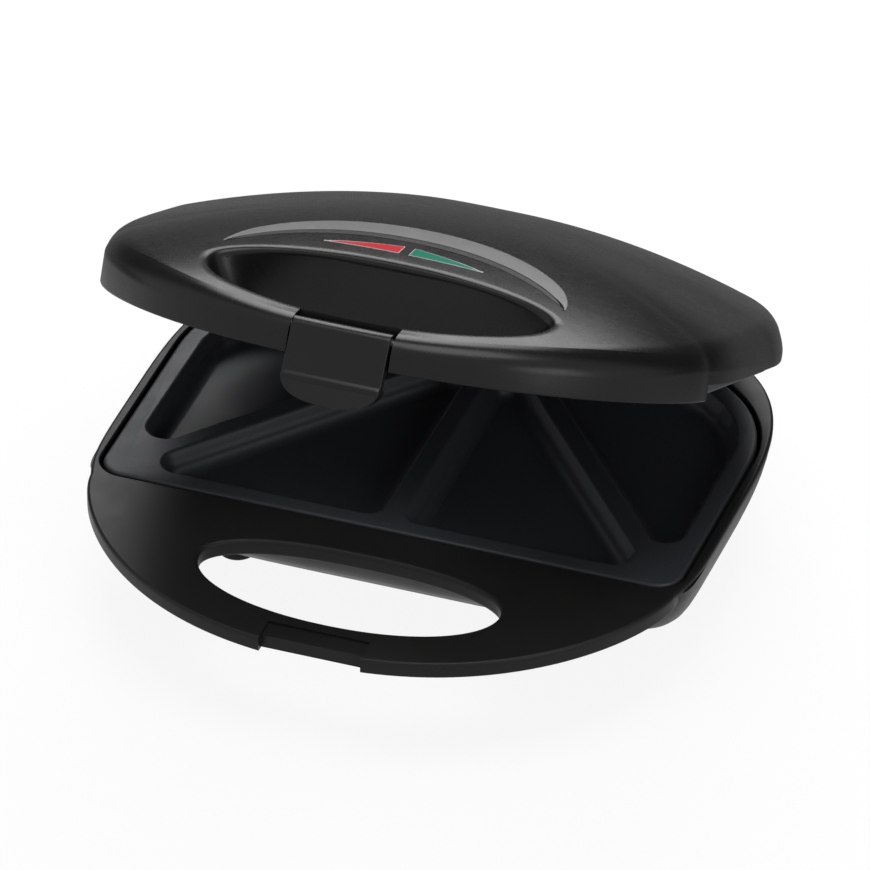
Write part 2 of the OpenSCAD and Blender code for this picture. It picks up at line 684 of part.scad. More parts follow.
// Silicone lead from the terminals to the hinge axis, along which it only twists
module base_leads() {
    color("#b5523a") placed() {
        lead([[term_x + 9, term_y + 6.1, term_z + 3.5], [term_x + 9, term_y + 10, term_z + 3.5],
              [term_x + 3, term_y + 15, term_z + 6], [-1, hinge_y - 9, hinge_z - 10],
              [-8, hinge_y - 4, hinge_z - 3], [-6, hinge_y, hinge_z],
              [lead_axis_x - 4, hinge_y, hinge_z], [lead_axis_x, hinge_y, hinge_z]], lead_d);
    }
}

// =====================================================================
// Lid
// =====================================================================

// How much a direction from the crest points to the front, 0 to 1
function frontness(p) = let (v = p - [0, crest_y]) max(0, -v.y / norm(v));
// Height of the dome over the parting plane at a share s of the way to the outline
function dome_z(p, s, drop) =
    let (f = frontness(p), edge = 17.7 - 4.7 * pow(f, 3), roll = 7 * (1 - f),
         q = [0, crest_y] + s * (p - [0, crest_y]),
         dish = 2.5 * exp(-pow(q.x / 45, 2) - pow((q.y - front_y - 12.5) / 14, 2)))
        parting_h + edge + (crest_h - edge) * (1 - s * s)
        - roll * pow(max(0, (s - 0.93) / 0.07), 2.5) - dish - drop;

lid_shares = [1, 0.985, 0.965, 0.93, 0.86, 0.76, 0.64, 0.5, 0.35, 0.18];
// Solid inside the lid's outer skin, drawn in by inset on all sides
module lid_form(inset, z0) {
    edge = lid_outline(inset);
    drop = inset * 1.15;
    loft(concat([[for (p = edge) [p.x, p.y, z0]]],
                [for (s = lid_shares)
                    [for (p = edge) let (c = [0, crest_y], q = c + s * (p - c))
                        [q.x, q.y, dome_z(p, s, drop)]]]),
         [0, crest_y, z0], [0, crest_y, parting_h + crest_h - drop]);
}

lid_z0 = parting_h + 0.6; // underside of the lid's handle
skirt_z = parting_h + skirt_gap;
bulkhead_y = plate_y0 - 1.5; // wall between the lid's handle and its plate

latch_y = front_y + 6.5;
latch_z = parting_h + 9.5;
knuckle_r = latch_pin_d / 2 + 1.8;
lens_y = hole_y1 + 2.2;
lens_z = parting_h + crest_h - 9.5;

module finger_shaft(pad) {
    loft([hole_ring(0, pad, 1), hole_ring(0, pad), hole_ring(0.4, pad), hole_ring(0.7, pad),
          hole_ring(1, pad), hole_ring(1.3, pad), hole_ring(1.7, pad)],
         [0, hole_mid_y, parting_h - 1], [0, hole_mid_y, parting_h + 42]);
}

module lid_shell() {
    color(black) opened() difference() {
        lid_form(0, lid_z0);
        // Hollow for the plate behind the bulkhead, and hollow of the handle in front
        difference() {
            lid_form(wall, lid_z0 - 1);
            translate([-half_w, bulkhead_y - wall, 0]) cube([2 * half_w, wall, 200]);
            finger_shaft(wall);
            // Block in which the latch pin sits
            translate([-notch_half_w - 5, front_y, lid_z0 - 2])
                cube([2 * notch_half_w + 10, bar_w + 6, 60]);
            // Bosses for the plate's ears, the hinge arms, the liner and the lamps
            for (s = [-1, 1]) {
                translate([s * ear_x, ear_screw_y, upper_rim_z + ear_u + ear_t + seat])
                    cylinder(d = 9, h = 60, $fn = 48);
                for (d = [-1, 1]) translate([s * hinge_x + d * 6, arm_screw_y, arm_top_z + seat])
                    cylinder(d = 8, h = 60, $fn = 48);
                translate([s * liner_x, liner_y, liner_z + liner_t + seat])
                    cylinder(d = 7, h = 60, $fn = 48);
            }
            for (s = [-1, 1]) translate([s * 34, lens_y + 4, holder_z + 2 + seat])
                cylinder(d = 6, h = 60, $fn = 48);
        }
        finger_shaft(0);
        // The side and rear skirts end higher than the handle
        translate([-half_w - 10, bulkhead_y, 0]) cube([2 * half_w + 20, 300, skirt_z]);
        // Room for the plate's rim, and slots for its tongues
        linear_extrude(height = upper_rim_z + plate_skirt + 2) plate_outline(0.5);
        for (s = [-1, 1]) {
            translate([s * tongue_x - tongue_w / 2 - 0.5, plate_y0 - tongue_reach - 0.5,
                       upper_rim_z + ear_u - seat])
                cube([tongue_w + 1, tongue_reach + 4, tongue_t + 2 * seat]);
            translate([s * ear_x, ear_screw_y, 0])
                cylinder(r = screw_d / 2 + running, h = upper_rim_z + ear_u + 13, $fn = 32);
            for (d = [-1, 1]) translate([s * hinge_x + d * 6, arm_screw_y, 0])
                cylinder(r = 1.5 + running, h = arm_top_z + 8, $fn = 32);
            translate([s * liner_x, liner_y, 0])
                cylinder(r = 1.5 + running, h = liner_z + liner_t + 8, $fn = 32);
        }
        // Notch of the latch clip, and the bore of its pin
        translate([-notch_half_w, front_y - 5, latch_z - knuckle_r - 0.8])
            cube([2 * notch_half_w, bar_w - 0.6, 40]);
        translate([-notch_half_w, front_y - 5, lid_z0 - 2])
            cube([2 * notch_half_w, notch_depth + 5.4, 60]);
        translate([0, latch_y, latch_z]) rotate([0, 90, 0])
            cylinder(r = latch_pin_d / 2 + running, h = latch_pin_l + 0.4, center = true, $fn = 48);
        // Windows of the indicator lights, and the seat of the crescent
        for (s = [-1, 1]) window(s, 0.25, 3, 9);
        crescent(0.15, 3, 0.9);
    }
}

// Sheet that closes the lid's handle from below, behind the latch
liner_z = lid_z0;
liner_t = 2;
liner_x = 78;
liner_y = handle_y0 - 18.5;
module lid_handle_liner() {
    color(black) opened() difference() {
        translate([0, 0, liner_z]) linear_extrude(height = liner_t) polygon(concat(
            [for (i = [0:handle_steps])
                let (k = wall + 0.3, x = (lid_tip_x - k) * sin(-90 + 180 * i / handle_steps))
                    [x, min(handle_edge(x, k, lid_tip_x), bulkhead_y - wall - 0.3)]]));
        finger_shaft(wall + 0.3);
        translate([-notch_half_w - 5.3, front_y - 5, liner_z - 2])
            cube([2 * notch_half_w + 10.6, bar_w + 11.3, 10]);
        for (s = [-1, 1]) translate([s * liner_x, liner_y, liner_z - 1])
            cylinder(r = 1.75, h = 10, $fn = 32);
    }
}

module liner_screws() {
    color(steel) opened() for (s = [-1, 1]) translate([s * liner_x, liner_y, liner_z]) mirror([0, 0, 1])
        screw(3, 7, 5.5, 0.5);
}

// Share of the way from the crest to the outline at which a point of the lid's front lies
function share(q, lo = 0.2, hi = 1, n = 14) =
    let (m = (lo + hi) / 2, p = [0, crest_y] + (q - [0, crest_y]) / m)
    n == 0 ? m : (abs(p.x) < lid_tip_x && p.y > handle_edge(p.x, 0, lid_tip_x)) ?
        share(q, lo, m, n - 1) : share(q, m, hi, n - 1);
// Height of the lid's outer skin over a point of its front
function skin_z(q) = let (s = share(q)) dome_z([0, crest_y] + (q - [0, crest_y]) / s, s, 0);
// Cross-section of an inlay between two points of the skin, from its front to its back
function inlay_ring(p, q, above, below) = let (m = (p + q) / 2)
    [[p.x, p.y, skin_z(p) - below], [m.x, m.y, skin_z(m) - below], [q.x, q.y, skin_z(q) - below],
     [q.x, q.y, skin_z(q) + above], [m.x, m.y, skin_z(m) + above], [p.x, p.y, skin_z(p) + above]];
function middle(ring) = (ring[1] + ring[4]) / 2;

// Outlines of the two indicator windows: a bow split in the middle
window_l = 26.7;
window_h = 6.9;
window_gap = 1.8;
module window(side, grow, above, below) {
    rings = [for (i = [0:6]) let (t = i / 6,
        x = window_gap - grow + (window_l + 3 * grow) * t,
        h = max(0.6, window_h * pow(1 - t, 0.75)))
        inlay_ring([x, lens_y - grow], [x, lens_y + h + grow], above, below)];
    mirror([side < 0 ? 1 : 0, 0, 0]) loft(rings, middle(rings[0]), middle(rings[6]));
}

module red_lens() { color("#d8303a") opened() window(-1, 0, 0.1, 2); }
module green_lens() { color("#12966f") opened() window(1, 0, 0.1, 2); }

// Crescent between two bows on the lid, behind the windows
crescent_half_w = 62;
crescent_y0 = hole_y1 - 7.5;
crescent_rise = 37.5;
crescent_band = 15.5;
module crescent(grow, above, below) {
    n = 18;
    rings = [for (i = [0:n]) let (a = 176 - 172 * i / n)
        inlay_ring([(crescent_half_w - 1.5) * cos(a),
                    crescent_y0 - 0.4 + (crescent_rise - crescent_band) * pow(sin(a), 1.5) - grow],
                   [(crescent_half_w + grow) * cos(a),
                    crescent_y0 + 0.8 + (crescent_rise - 0.8) * pow(sin(a), 1.1) + grow], above, below)];
    loft(rings, middle(rings[0]), middle(rings[n]));
}
module silver_crescent() { color("#a9adb2") opened() crescent(0, 0.1, 0.8); }

// Bracket under the windows that carries the two neon lamps
holder_z = lens_z - 10;
holder_w = 78;
holder_y1 = bulkhead_y - wall - 0.5;
module lamp_holder() {
    color("#e8e4d8") opened() difference() {
        translate([-holder_w / 2, lens_y - 3, holder_z]) cube([holder_w, holder_y1 - lens_y + 3, 2]);
        for (s = [-1, 1]) translate([s * 34, lens_y + 4, holder_z - 1]) cylinder(r = 1.3, h = 6, $fn = 32);
    }
}

module neon_lamps() {
    color("#ffb27a") opened() for (s = [-1, 1]) translate([s * 11, lens_y + 3, holder_z + 2.1 + 2.5])
        rotate([0, 90, 0]) {
            cylinder(d = 5, h = 11, center = true, $fn = 32);
            translate([0, 0, s * 5.5]) sphere(d = 4.9, $fn = 32);
        }
}

// Bimetal thermostat on the back of the upper plate
thermostat_x = heater_loop_w / 2 - heater_d / 2 - 9.2;
module thermostat() {
    color("#efe9dc") upper() translate([thermostat_x, plate_mid_y, tub_u + seat]) difference() {
        union() {
            cylinder(d = 15, h = 7, $fn = 48);
            translate([-6, -13, 0]) cube([12, 26, 1.2]);
            for (s = [-1, 1]) translate([s * 4.5 - 0.4, -3, 6]) cube([0.8, 6, 5]);
        }
        for (s = [-1, 1]) translate([0, s * 10, -1]) cylinder(r = 1.5 + running, h = 5, $fn = 32);
    }
}
module thermostat_screws() {
    color(steel) upper() for (s = [-1, 1])
        translate([thermostat_x, plate_mid_y + s * 10, tub_u + seat + 1.2]) screw(3, 1.2, 5, 1.6);
}

fuse_x = -heater_loop_w / 2 + heater_d / 2 + 8.5;
module thermal_fuse() {
    color("#c9b48a") upper() translate([fuse_x, plate_mid_y, tub_u + 0.9 + 2]) rotate([-90, 0, 0]) {
        cylinder(d = 4, h = 12, center = true, $fn = 32);
        cylinder(d = 1, h = 26, center = true, $fn = 16);
    }
}
// Spring clip that presses the fuse on the plate
module fuse_clip() {
    color(steel) upper() translate([fuse_x, plate_mid_y, tub_u + seat]) difference() {
        translate([-4, -3.5, 0]) cube([14, 7, 6]);
        translate([-2.9, -4.5, 0.7]) cube([5.8, 9, 4.4]);
        translate([3.6, -4.5, 0.8]) cube([10, 9, 10]);
    }
}

// Steel arms screwed in the lid, whose rolled ends turn on the hinge pins
arm_screw_y = hinge_y - 11;
arm_top_z = parting_h + 12;
module lid_hinge_arms() {
    color(black) opened() for (s = [-1, 1]) difference() {
        translate([s * hinge_x - lug_w / 2, 0, 0]) union() {
            translate([0, hinge_y, hinge_z]) rotate([0, 90, 0])
                cylinder(r = barrel_r - 0.4, h = lug_w, $fn = 64);
            translate([0, hinge_y - barrel_r + 0.5, hinge_z]) cube([lug_w, 3.7, arm_top_z - hinge_z]);
            translate([lug_w / 2 - 10, arm_screw_y - 5, arm_top_z - 3]) cube([20, 13, 3]);
        }
        translate([s * hinge_x, hinge_y, hinge_z]) rotate([0, 90, 0])
            cylinder(r = hinge_pin_d / 2 + running, h = 60, center = true, $fn = 48);
        for (d = [-1, 1]) translate([s * hinge_x + d * 6, arm_screw_y, arm_top_z - 5])
            cylinder(r = 1.75, h = 10, $fn = 32);
    }
}

module hinge_arm_screws() {
    color(steel) opened() for (s = [-1, 1]) for (d = [-1, 1])
        translate([s * hinge_x + d * 6, arm_screw_y, arm_top_z - 3]) mirror([0, 0, 1])
            screw(3, 9, 5, 1.6);
}

// The lead goes on from the hinge axis into the lid, to the lamps
module lid_leads() {
    color("#b5523a") opened()
        lead([[lead_axis_x, hinge_y, hinge_z], [lead_axis_x + 5, hinge_y, hinge_z],
              [lead_axis_x + 8, hinge_y - 1, hinge_z + 3], [lead_axis_x + 8, hinge_y - 4, hinge_z + 12],
              [lead_axis_x + 6, hinge_y - 12, parting_h + 18], [8, 30, parting_h + crest_h - 11],
              [6, 0, parting_h + crest_h - 7], [4, -40, parting_h + crest_h - 11],
              [3, -66, parting_h + crest_h - 16]], lead_d);
}

// =====================================================================
// Latch
// =====================================================================

latch_pin_l = 2 * notch_half_w + 7;
module latch_pin() {
    color(steel) opened() translate([0, latch_y, latch_z]) rotate([0, 90, 0])
        cylinder(d = latch_pin_d, h = latch_pin_l, center = true, $fn = 48);
}

clip_front = -(latch_y - front_y) + 0.4; // front face of the clip, from its pin
hook_z = -(latch_z - parting_h) - handle_t - 0.4; // top of the hook under the base's handle
tongue_z = hook_z - 9;
clip_back = clip_front + latch_t;
catch_reach = 2.2;
// Profile of the clip from the side, pin at the origin: y to the back, z up
module clip_profile() {
    difference() {
        union() {
            // Front plate with its flared tongue, and the hook that catches under the base's handle
            polygon([[clip_front, 1], [clip_front, hook_z], [clip_front - 1.5, tongue_z],
                     [clip_back - 1.5, tongue_z], [clip_back - 0.6, hook_z - 4],
                     [clip_back + catch_reach, hook_z - 1], [clip_back + catch_reach, hook_z],
                     [clip_back, hook_z], [clip_back, 1]]);
            translate([clip_back - 0.5, knuckle_r - latch_t]) square([0.5 - clip_back, latch_t - 0.15]);
            translate([clip_back, knuckle_r - latch_t]) circle(r = latch_t, $fn = 48);
            circle(r = knuckle_r, $fn = 64);
        }
        circle(r = latch_pin_d / 2 + running, $fn = 48);
    }
}

module latch_clip() {
    color(black) opened() translate([0, latch_y, latch_z]) rotate([-latch_rest, 0, 0])
        difference() {
            rotate([90, 0, 90]) linear_extrude(height = latch_w, center = true) clip_profile();
            // The tongue ends in a round bow
            translate([0, 0, tongue_z - 2]) rotate([90, 0, 0]) linear_extrude(height = 40, center = true)
                difference() {
                    translate([-latch_w, -20]) square([2 * latch_w, 31.5]);
                    translate([0, tongue_bow_r + 2]) circle(r = tongue_bow_r, $fn = 96);
                }
        }
}
// Radius of the bow through the tongue's tip and its two ends
tongue_sag = 9.5;
tongue_bow_r = (pow(latch_w / 2, 2) + pow(tongue_sag, 2)) / (2 * tongue_sag);

// Foremost point of the base beside the latch notch, and hindmost point of the open lid
function handle_x(i) = tip_x * sin(-90 + 180 * i / handle_steps);
notch_i = ceil((asin(notch_half_w / tip_x) + 90) / 180 * handle_steps);
notch_t = (notch_half_w - handle_x(notch_i - 1)) / (handle_x(notch_i) - handle_x(notch_i - 1));
foremost_y = handle_edge(handle_x(notch_i - 1)) * (1 - notch_t) + handle_edge(handle_x(notch_i)) * notch_t;
hindmost_y = max([for (s = lid_shares)
    hinge_y + (crest_y + s * (rear_y - crest_y) - hinge_y) * cos(lid_open)
    + (dome_z([0, rear_y], s, 0) - hinge_z) * sin(lid_open)]);
frame_y = -(foremost_y + hindmost_y) / 2;

base_shell();
base_hinge_blocks();
hinge_block_screws();
hinge_pins();
rubber_feet();
lower_plate();
lower_heater();
lower_heater_straps();
lower_strap_screws();
lower_reflector();
lower_reflector_screws();
lower_plate_screws();
terminal_block();
cord_gland();
cord_clamp();
cord_clamp_screws();
base_leads();
lid_shell();
lid_handle_liner();
liner_screws();
silver_crescent();
red_lens();
green_lens();
lamp_holder();
neon_lamps();
upper_plate();
upper_heater();
upper_heater_straps();
upper_strap_screws();
upper_reflector();
upper_reflector_screws();
upper_plate_screws();
thermostat();
thermostat_screws();
thermal_fuse();
fuse_clip();
lid_hinge_arms();
hinge_arm_screws();
lid_leads();
latch_pin();
latch_clip();
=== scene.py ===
# A sandwich toaster for two slices, its lid standing open: two black mouldings with joined
# handles, two non-stick plates between them, and a latch clip that hangs from the lid.
import math
import bpy
import numpy as np
from mathutils import Matrix, Vector


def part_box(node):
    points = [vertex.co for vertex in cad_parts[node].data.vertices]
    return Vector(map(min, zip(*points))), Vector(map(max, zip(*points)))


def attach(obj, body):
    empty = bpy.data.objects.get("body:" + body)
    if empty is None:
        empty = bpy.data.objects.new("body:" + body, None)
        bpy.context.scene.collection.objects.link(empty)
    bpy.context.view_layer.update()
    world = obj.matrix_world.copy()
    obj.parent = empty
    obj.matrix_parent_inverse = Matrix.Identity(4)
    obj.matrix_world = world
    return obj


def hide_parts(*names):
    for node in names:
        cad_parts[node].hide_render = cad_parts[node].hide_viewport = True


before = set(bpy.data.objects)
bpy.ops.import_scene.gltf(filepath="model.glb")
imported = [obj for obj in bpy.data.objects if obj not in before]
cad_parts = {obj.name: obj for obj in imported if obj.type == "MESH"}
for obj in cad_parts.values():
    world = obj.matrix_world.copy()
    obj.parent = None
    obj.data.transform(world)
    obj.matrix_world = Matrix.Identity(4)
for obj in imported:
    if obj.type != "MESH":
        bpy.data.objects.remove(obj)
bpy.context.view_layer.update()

# =====================================================================
# Camera: the photograph looks from the front left and from above, from far away,
# so that the handles hardly narrow towards the hinge.
# =====================================================================
MM = 0.001
feet_low, feet_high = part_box("rubber_feet")
SHIFT = (feet_low.y + feet_high.y) / 2 / MM  # from the toaster's own middle to the frame's
turn, tilt = math.radians(19.77), math.radians(35.18)
sight = Vector((math.sin(turn) * math.cos(tilt), -math.cos(turn) * math.cos(tilt), math.sin(tilt)))
aside = Vector((math.cos(turn), math.sin(turn), 0))
eye = Vector((0, SHIFT - 65, 40)) + 17.63 * aside + 31.96 * sight.cross(aside) + 4223 * sight
bpy.ops.object.select_all(action="DESELECT")
bpy.ops.object.camera_add(location=eye * MM, rotation=(math.pi / 2 - tilt, 0, turn))
camera = bpy.context.object
camera.data.lens = 512.5
camera.data.sensor_width = 36
camera.data.clip_end = 50
bpy.context.scene.camera = camera
bpy.context.scene.view_settings.view_transform = "Standard"

# =====================================================================
# Studio: a pale floor, a white surround and three soft lamps
# =====================================================================
world = bpy.data.worlds.new("surround")
bpy.context.scene.world = world
world.use_nodes = True


def white_share(tree):
    """Two sockets: 1 for rays from the camera or through glass, and 1 for mirrored rays."""
    path = tree.nodes.new("ShaderNodeLightPath")
    seen = tree.nodes.new("ShaderNodeMath")
    seen.operation = "ADD"
    seen.use_clamp = True
    tree.links.new(path.outputs["Is Camera Ray"], seen.inputs[0])
    tree.links.new(path.outputs["Is Transmission Ray"], seen.inputs[1])
    return seen.outputs[0], path.outputs["Is Glossy Ray"]


def between(tree, value, low, high, start, end, kind="LINEAR"):
    """Turns a value between low and high into one between start and end."""
    node = tree.nodes.new("ShaderNodeMapRange")
    node.interpolation_type = kind
    for key, number in (("From Min", low), ("From Max", high), ("To Min", start), ("To Max", end)):
        node.inputs[key].default_value = number
    tree.links.new(value, node.inputs["Value"])
    return node.outputs[0]


def choose(tree, value, low, high):
    """A number or socket where the value is 0, another where it is 1."""
    node = tree.nodes.new("ShaderNodeMix")
    tree.links.new(value, node.inputs[0])
    for place, part in ((node.inputs[2], low), (node.inputs[3], high)):
        if isinstance(part, float):
            place.default_value = part
        else:
            tree.links.new(part, place)
    return node.outputs[0]


def dark_behind(tree, coordinates, start, end):
    """1 in front, falling along Y to a dark flag behind the toaster, which keeps the lid black."""
    course = tree.nodes.new("ShaderNodeSeparateXYZ")
    tree.links.new(tree.nodes.new("ShaderNodeTexCoord").outputs[coordinates], course.inputs[0])
    return between(tree, course.outputs["Y"], start, end, 1.0, 0.08, "SMOOTHSTEP")


# The surround is white to the camera; only mirrored rays meet the dark flag
tree = world.node_tree
seen, mirrored = white_share(tree)
flag = dark_behind(tree, "Generated", 0.05, 0.5)
strength = choose(tree, seen, choose(tree, mirrored, 0.34, flag), 1.0)
tree.nodes["Background"].inputs["Color"].default_value = (1, 1, 1, 1)
tree.links.new(strength, tree.nodes["Background"].inputs["Strength"])

bpy.ops.object.select_all(action="DESELECT")
bpy.ops.mesh.primitive_plane_add(size=16, location=(0, 2, 0))
floor = bpy.context.object
floor.name = "floor"
paper = bpy.data.materials.new("floor_paper")
paper.use_nodes = True
tree = paper.node_tree
lit = tree.nodes["Principled BSDF"]
lit.inputs["Base Color"].default_value = (0.86, 0.86, 0.86, 1)
lit.inputs["Roughness"].default_value = 0.9
lit.inputs["Specular IOR Level"].default_value = 0.1
glow = tree.nodes.new("ShaderNodeEmission")
glow.inputs["Color"].default_value = (1, 1, 1, 1)
seen, mirrored = white_share(tree)
flag = dark_behind(tree, "Object", -2.0, -1.84)
tree.links.new(choose(tree, seen, flag, 1.0), glow.inputs["Strength"])
share = choose(tree, seen, choose(tree, mirrored, 0.0, 0.85), 0.9)
blend = tree.nodes.new("ShaderNodeMixShader")
tree.links.new(share, blend.inputs["Fac"])
tree.links.new(lit.outputs[0], blend.inputs[1])
tree.links.new(glow.outputs[0], blend.inputs[2])
tree.links.new(blend.outputs[0], tree.nodes["Material Output"].inputs["Surface"])
floor.data.materials.append(paper)


def soft_lamp(name, place, target, size, power):
    """A square softbox that faces a point of the toaster."""
    bpy.ops.object.light_add(type="AREA", location=place)
    lamp = bpy.context.object
    lamp.name = name
    lamp.data.shape = "SQUARE"
    lamp.data.size = size
    lamp.data.energy = power
    lamp.rotation_euler = (Vector(target) - Vector(place)).to_track_quat("-Z", "Y").to_euler()


soft_lamp("lamp_above", (0.1, -0.1, 1.6), (0, 0, 0.05), 0.9, 12)
soft_lamp("lamp_behind", (-0.32, 1.15, 0.98), (0, 0, 0.1), 0.9, 16)
soft_lamp("lamp_right", (1.3, -0.9, 0.7), (0, 0, 0.08), 0.6, 4)

# =====================================================================
# Base housing: one black injection moulding of glass-filled plastic, a bowl under a flat
# deck, drawn out in front to a flat loop handle with a finger hole. Bosses and ribs are
# moulded in; the front edge has a notch in which the latch clip catches.
# =====================================================================
BASE_W, REAR_Y, TIP_X, REACH, HANDLE_Y = 110.0, 84.9, 106.0, 71.85, -67.5
PARTING, WALL = 40.0, 2.5
FRONT_Y, MID_Y, BOWL_FRONT_Y = -139.5, -15, -69.8
BASE_PLAN = (BASE_W, TIP_X, 5, MID_Y, (3.3, 3.3))  # what outline takes after the inset
HINGE_X, HINGE_Y, HINGE_Z = 38, 80.0, 31.0
NOTCH_W, NOTCH_D = 18.3, 4.3
SCREW_X, SCREW_Y = 62, 68  # the plates' ears, screwed to bosses in both housings
TONGUE_X = 42  # the plates' tongues, pushed in slots in front
FOOT_X, FOOT_Y = 62, 42
GLAND_X, GLAND_Z = -22, 16
PLATE_X, PLATE_Y0, PLATE_Y1 = 105, -65, 63
HOLE_Y = -98.7  # middle of the finger holes
THREAD_R = 1.55  # holes for screws and the latch pin
FINE = 2


def loft(name, rings, loop=False):
    """A closed skin through rings of points in millimetres, with a cap at each end."""
    n, m = len(rings[0]), len(rings)
    points = [(p[0] * MM, p[1] * MM, p[2] * MM) for ring in rings for p in ring]
    turns = m if loop else m - 1
    faces = [(k * n + i, k * n + (i + 1) % n, (k + 1) % m * n + (i + 1) % n, (k + 1) % m * n + i)
             for k in range(turns) for i in range(n)]
    if not loop:
        faces += [tuple(range(n - 1, -1, -1)), tuple(range((m - 1) * n, m * n))]
    mesh = bpy.data.meshes.new(name)
    mesh.from_pydata(points, [], faces)
    piece = bpy.data.objects.new(name, mesh)
    bpy.context.scene.collection.objects.link(piece)
    pick(piece)
    bpy.ops.object.mode_set(mode="EDIT")
    bpy.ops.mesh.select_all(action="SELECT")
    bpy.ops.mesh.normals_make_consistent(inside=False)
    bpy.ops.object.mode_set(mode="OBJECT")
    return piece


def pick(piece):
    bpy.ops.object.select_all(action="DESELECT")
    bpy.context.view_layer.objects.active = piece
    piece.select_set(True)


def combine(piece, tool, how="DIFFERENCE"):
    """Takes a tool's shape from a piece, or adds it, and puts the tool away."""
    pick(piece)
    cut = piece.modifiers.new("cut", "BOOLEAN")
    cut.operation, cut.object, cut.solver = how, tool, "MANIFOLD"
    bpy.ops.object.modifier_apply(modifier=cut.name)
    bpy.data.objects.remove(tool)


def block(low, high):
    """A box between two corners, as a tool for a cut."""
    low, high = Vector(low), Vector(high)
    bpy.ops.object.select_all(action="DESELECT")
    bpy.ops.mesh.primitive_cube_add(
        size=1, location=(low + high) / 2 * MM, scale=(high - low) * MM)
    return bpy.context.object


def rod(foot, direction, radius, length, sides=32):
    """A round bar from its foot along a direction, as a tool or a start."""
    direction = Vector(direction)
    bpy.ops.object.select_all(action="DESELECT")
    bpy.ops.mesh.primitive_cylinder_add(
        vertices=sides, radius=radius * MM, depth=length * MM,
        location=(Vector(foot) + direction * length / 2) * MM,
        rotation=direction.to_track_quat("Z", "Y").to_euler())
    return bpy.context.object


def power(v, n):
    return np.sign(v) * np.abs(v) ** n


def handle_edge(x, inset=0, tip=TIP_X):
    """Front edge of a handle: where it lies at a distance x from the middle."""
    aside = np.minimum(1, np.abs(x) / (tip - inset))
    return HANDLE_Y - (REACH - inset) * (1 - aside ** 2.22) ** 0.67


def outline(inset, width, tip, bulge, middle, corner, steps):
    """Plan of a housing, from the left tip of the handle round its front to the left side."""
    a = np.radians(np.linspace(-90, 90, 2 * steps + 1))
    x = (tip - inset) * np.sin(a)
    front = np.stack([x, handle_edge(x, inset, tip)], 1)
    t = np.linspace(0, 1, steps // 4 + 2)[1:-1]
    side = np.stack([tip - inset + (width - tip) * (1 - (1 - t) ** bulge),
                     HANDLE_Y + (middle - HANDLE_Y) * t], 1)
    a = np.radians(np.linspace(0, 180, 2 * steps + 1))
    rear = np.stack([(width - inset) * power(np.cos(a), 2 / corner[0]),
                     middle + (REAR_Y - inset - middle) * np.sin(a) ** (2 / corner[1])], 1)
    return np.concatenate([front, side, rear, side[::-1] * (-1, 1)])


def level(plan, z):
    """A plan as a ring at one height."""
    return np.concatenate([plan, np.full((len(plan), 1), float(z))], 1)


def spline(rows, at):
    """Smooth values between the rows of a table whose first column is the height."""
    rows = np.array(rows, float)
    k = np.clip(np.searchsorted(rows[:, 0], at) - 1, 0, len(rows) - 2)
    z0, z1 = rows[k, 0], rows[k + 1, 0]
    slope = np.gradient(rows[:, 1:], rows[:, 0], axis=0)
    t = ((at - z0) / (z1 - z0))[:, None]
    h = (z1 - z0)[:, None]
    return ((2 * t ** 3 - 3 * t ** 2 + 1) * rows[k, 1:] + (t ** 3 - 2 * t ** 2 + t) * h * slope[k]
            + (3 * t ** 2 - 2 * t ** 3) * rows[k + 1, 1:] + (t ** 3 - t ** 2) * h * slope[k + 1])


BOWL = [[4.5, 22, 20.4, 5], [5.7, 18.5, 18.2, 5.5], [8.5, 15, 15, 6], [14, 9.4, 9.4, 7],
        [20, 5.8, 5.8, 8], [27, 2.8, 2.8, 9], [34, 0.8, 1, 11], [38, 0.2, 0.2, 12]]


def bowl_ring(z, row, inset):
    """The bowl's plan at one height: a row holds its insets at the sides and in front, and a power."""
    a = np.radians(np.linspace(-90, 270, 64 * FINE, endpoint=False))
    corner = np.where(np.sin(a) < -1e-9, row[2], 3.3)
    depth = np.where(np.sin(a) < 0, MID_Y - BOWL_FRONT_Y - row[1], REAR_Y - 0.8 * row[0] - MID_Y)
    x = (BASE_W - row[0] - inset) * power(np.cos(a), 2 / corner)
    y = MID_Y + (depth - inset) * power(np.sin(a), 2 / corner)
    return np.stack([x, y, np.full(len(a), float(z))], 1)


heights = np.array([4.5, 4.8, 5.2, 5.7, 6.5, 7.5, 8.5, 10, 12, 14, 17, 20, 23.5, 27, 30.5, 34, 38])
rows = spline(BOWL, heights)
base_housing = loft("base_housing", [bowl_ring(z, r, 0) for z, r in zip(heights, rows)])
deck = [level(outline(k, *BASE_PLAN, 28 * FINE), z) for z, k in
        ((37.5, 0.6), (37.7, 0.2), (38, 0), (38.9, 0), (39.4, 0.15), (39.75, 0.45),
         (39.93, 0.8), (40, 1.3))]
combine(base_housing, loft("deck", deck), "UNION")


def handle_plan(inset, back):
    """Plan of the base's handle, straight at the back where it runs into the deck."""
    a = np.radians(np.linspace(-90, 90, 56 * FINE + 1))
    x = (TIP_X - inset) * np.sin(a)
    return np.concatenate([np.stack([x, handle_edge(x, inset)], 1),
                           [[TIP_X - inset, back], [-TIP_X + inset, back]]])


handle = [level(handle_plan(k, -64), z) for z, k in
          ((34, 0.9), (34.1, 0.5), (34.4, 0.15), (34.8, 0), (38.5, 0))]
combine(base_housing, loft("handle", handle), "UNION")

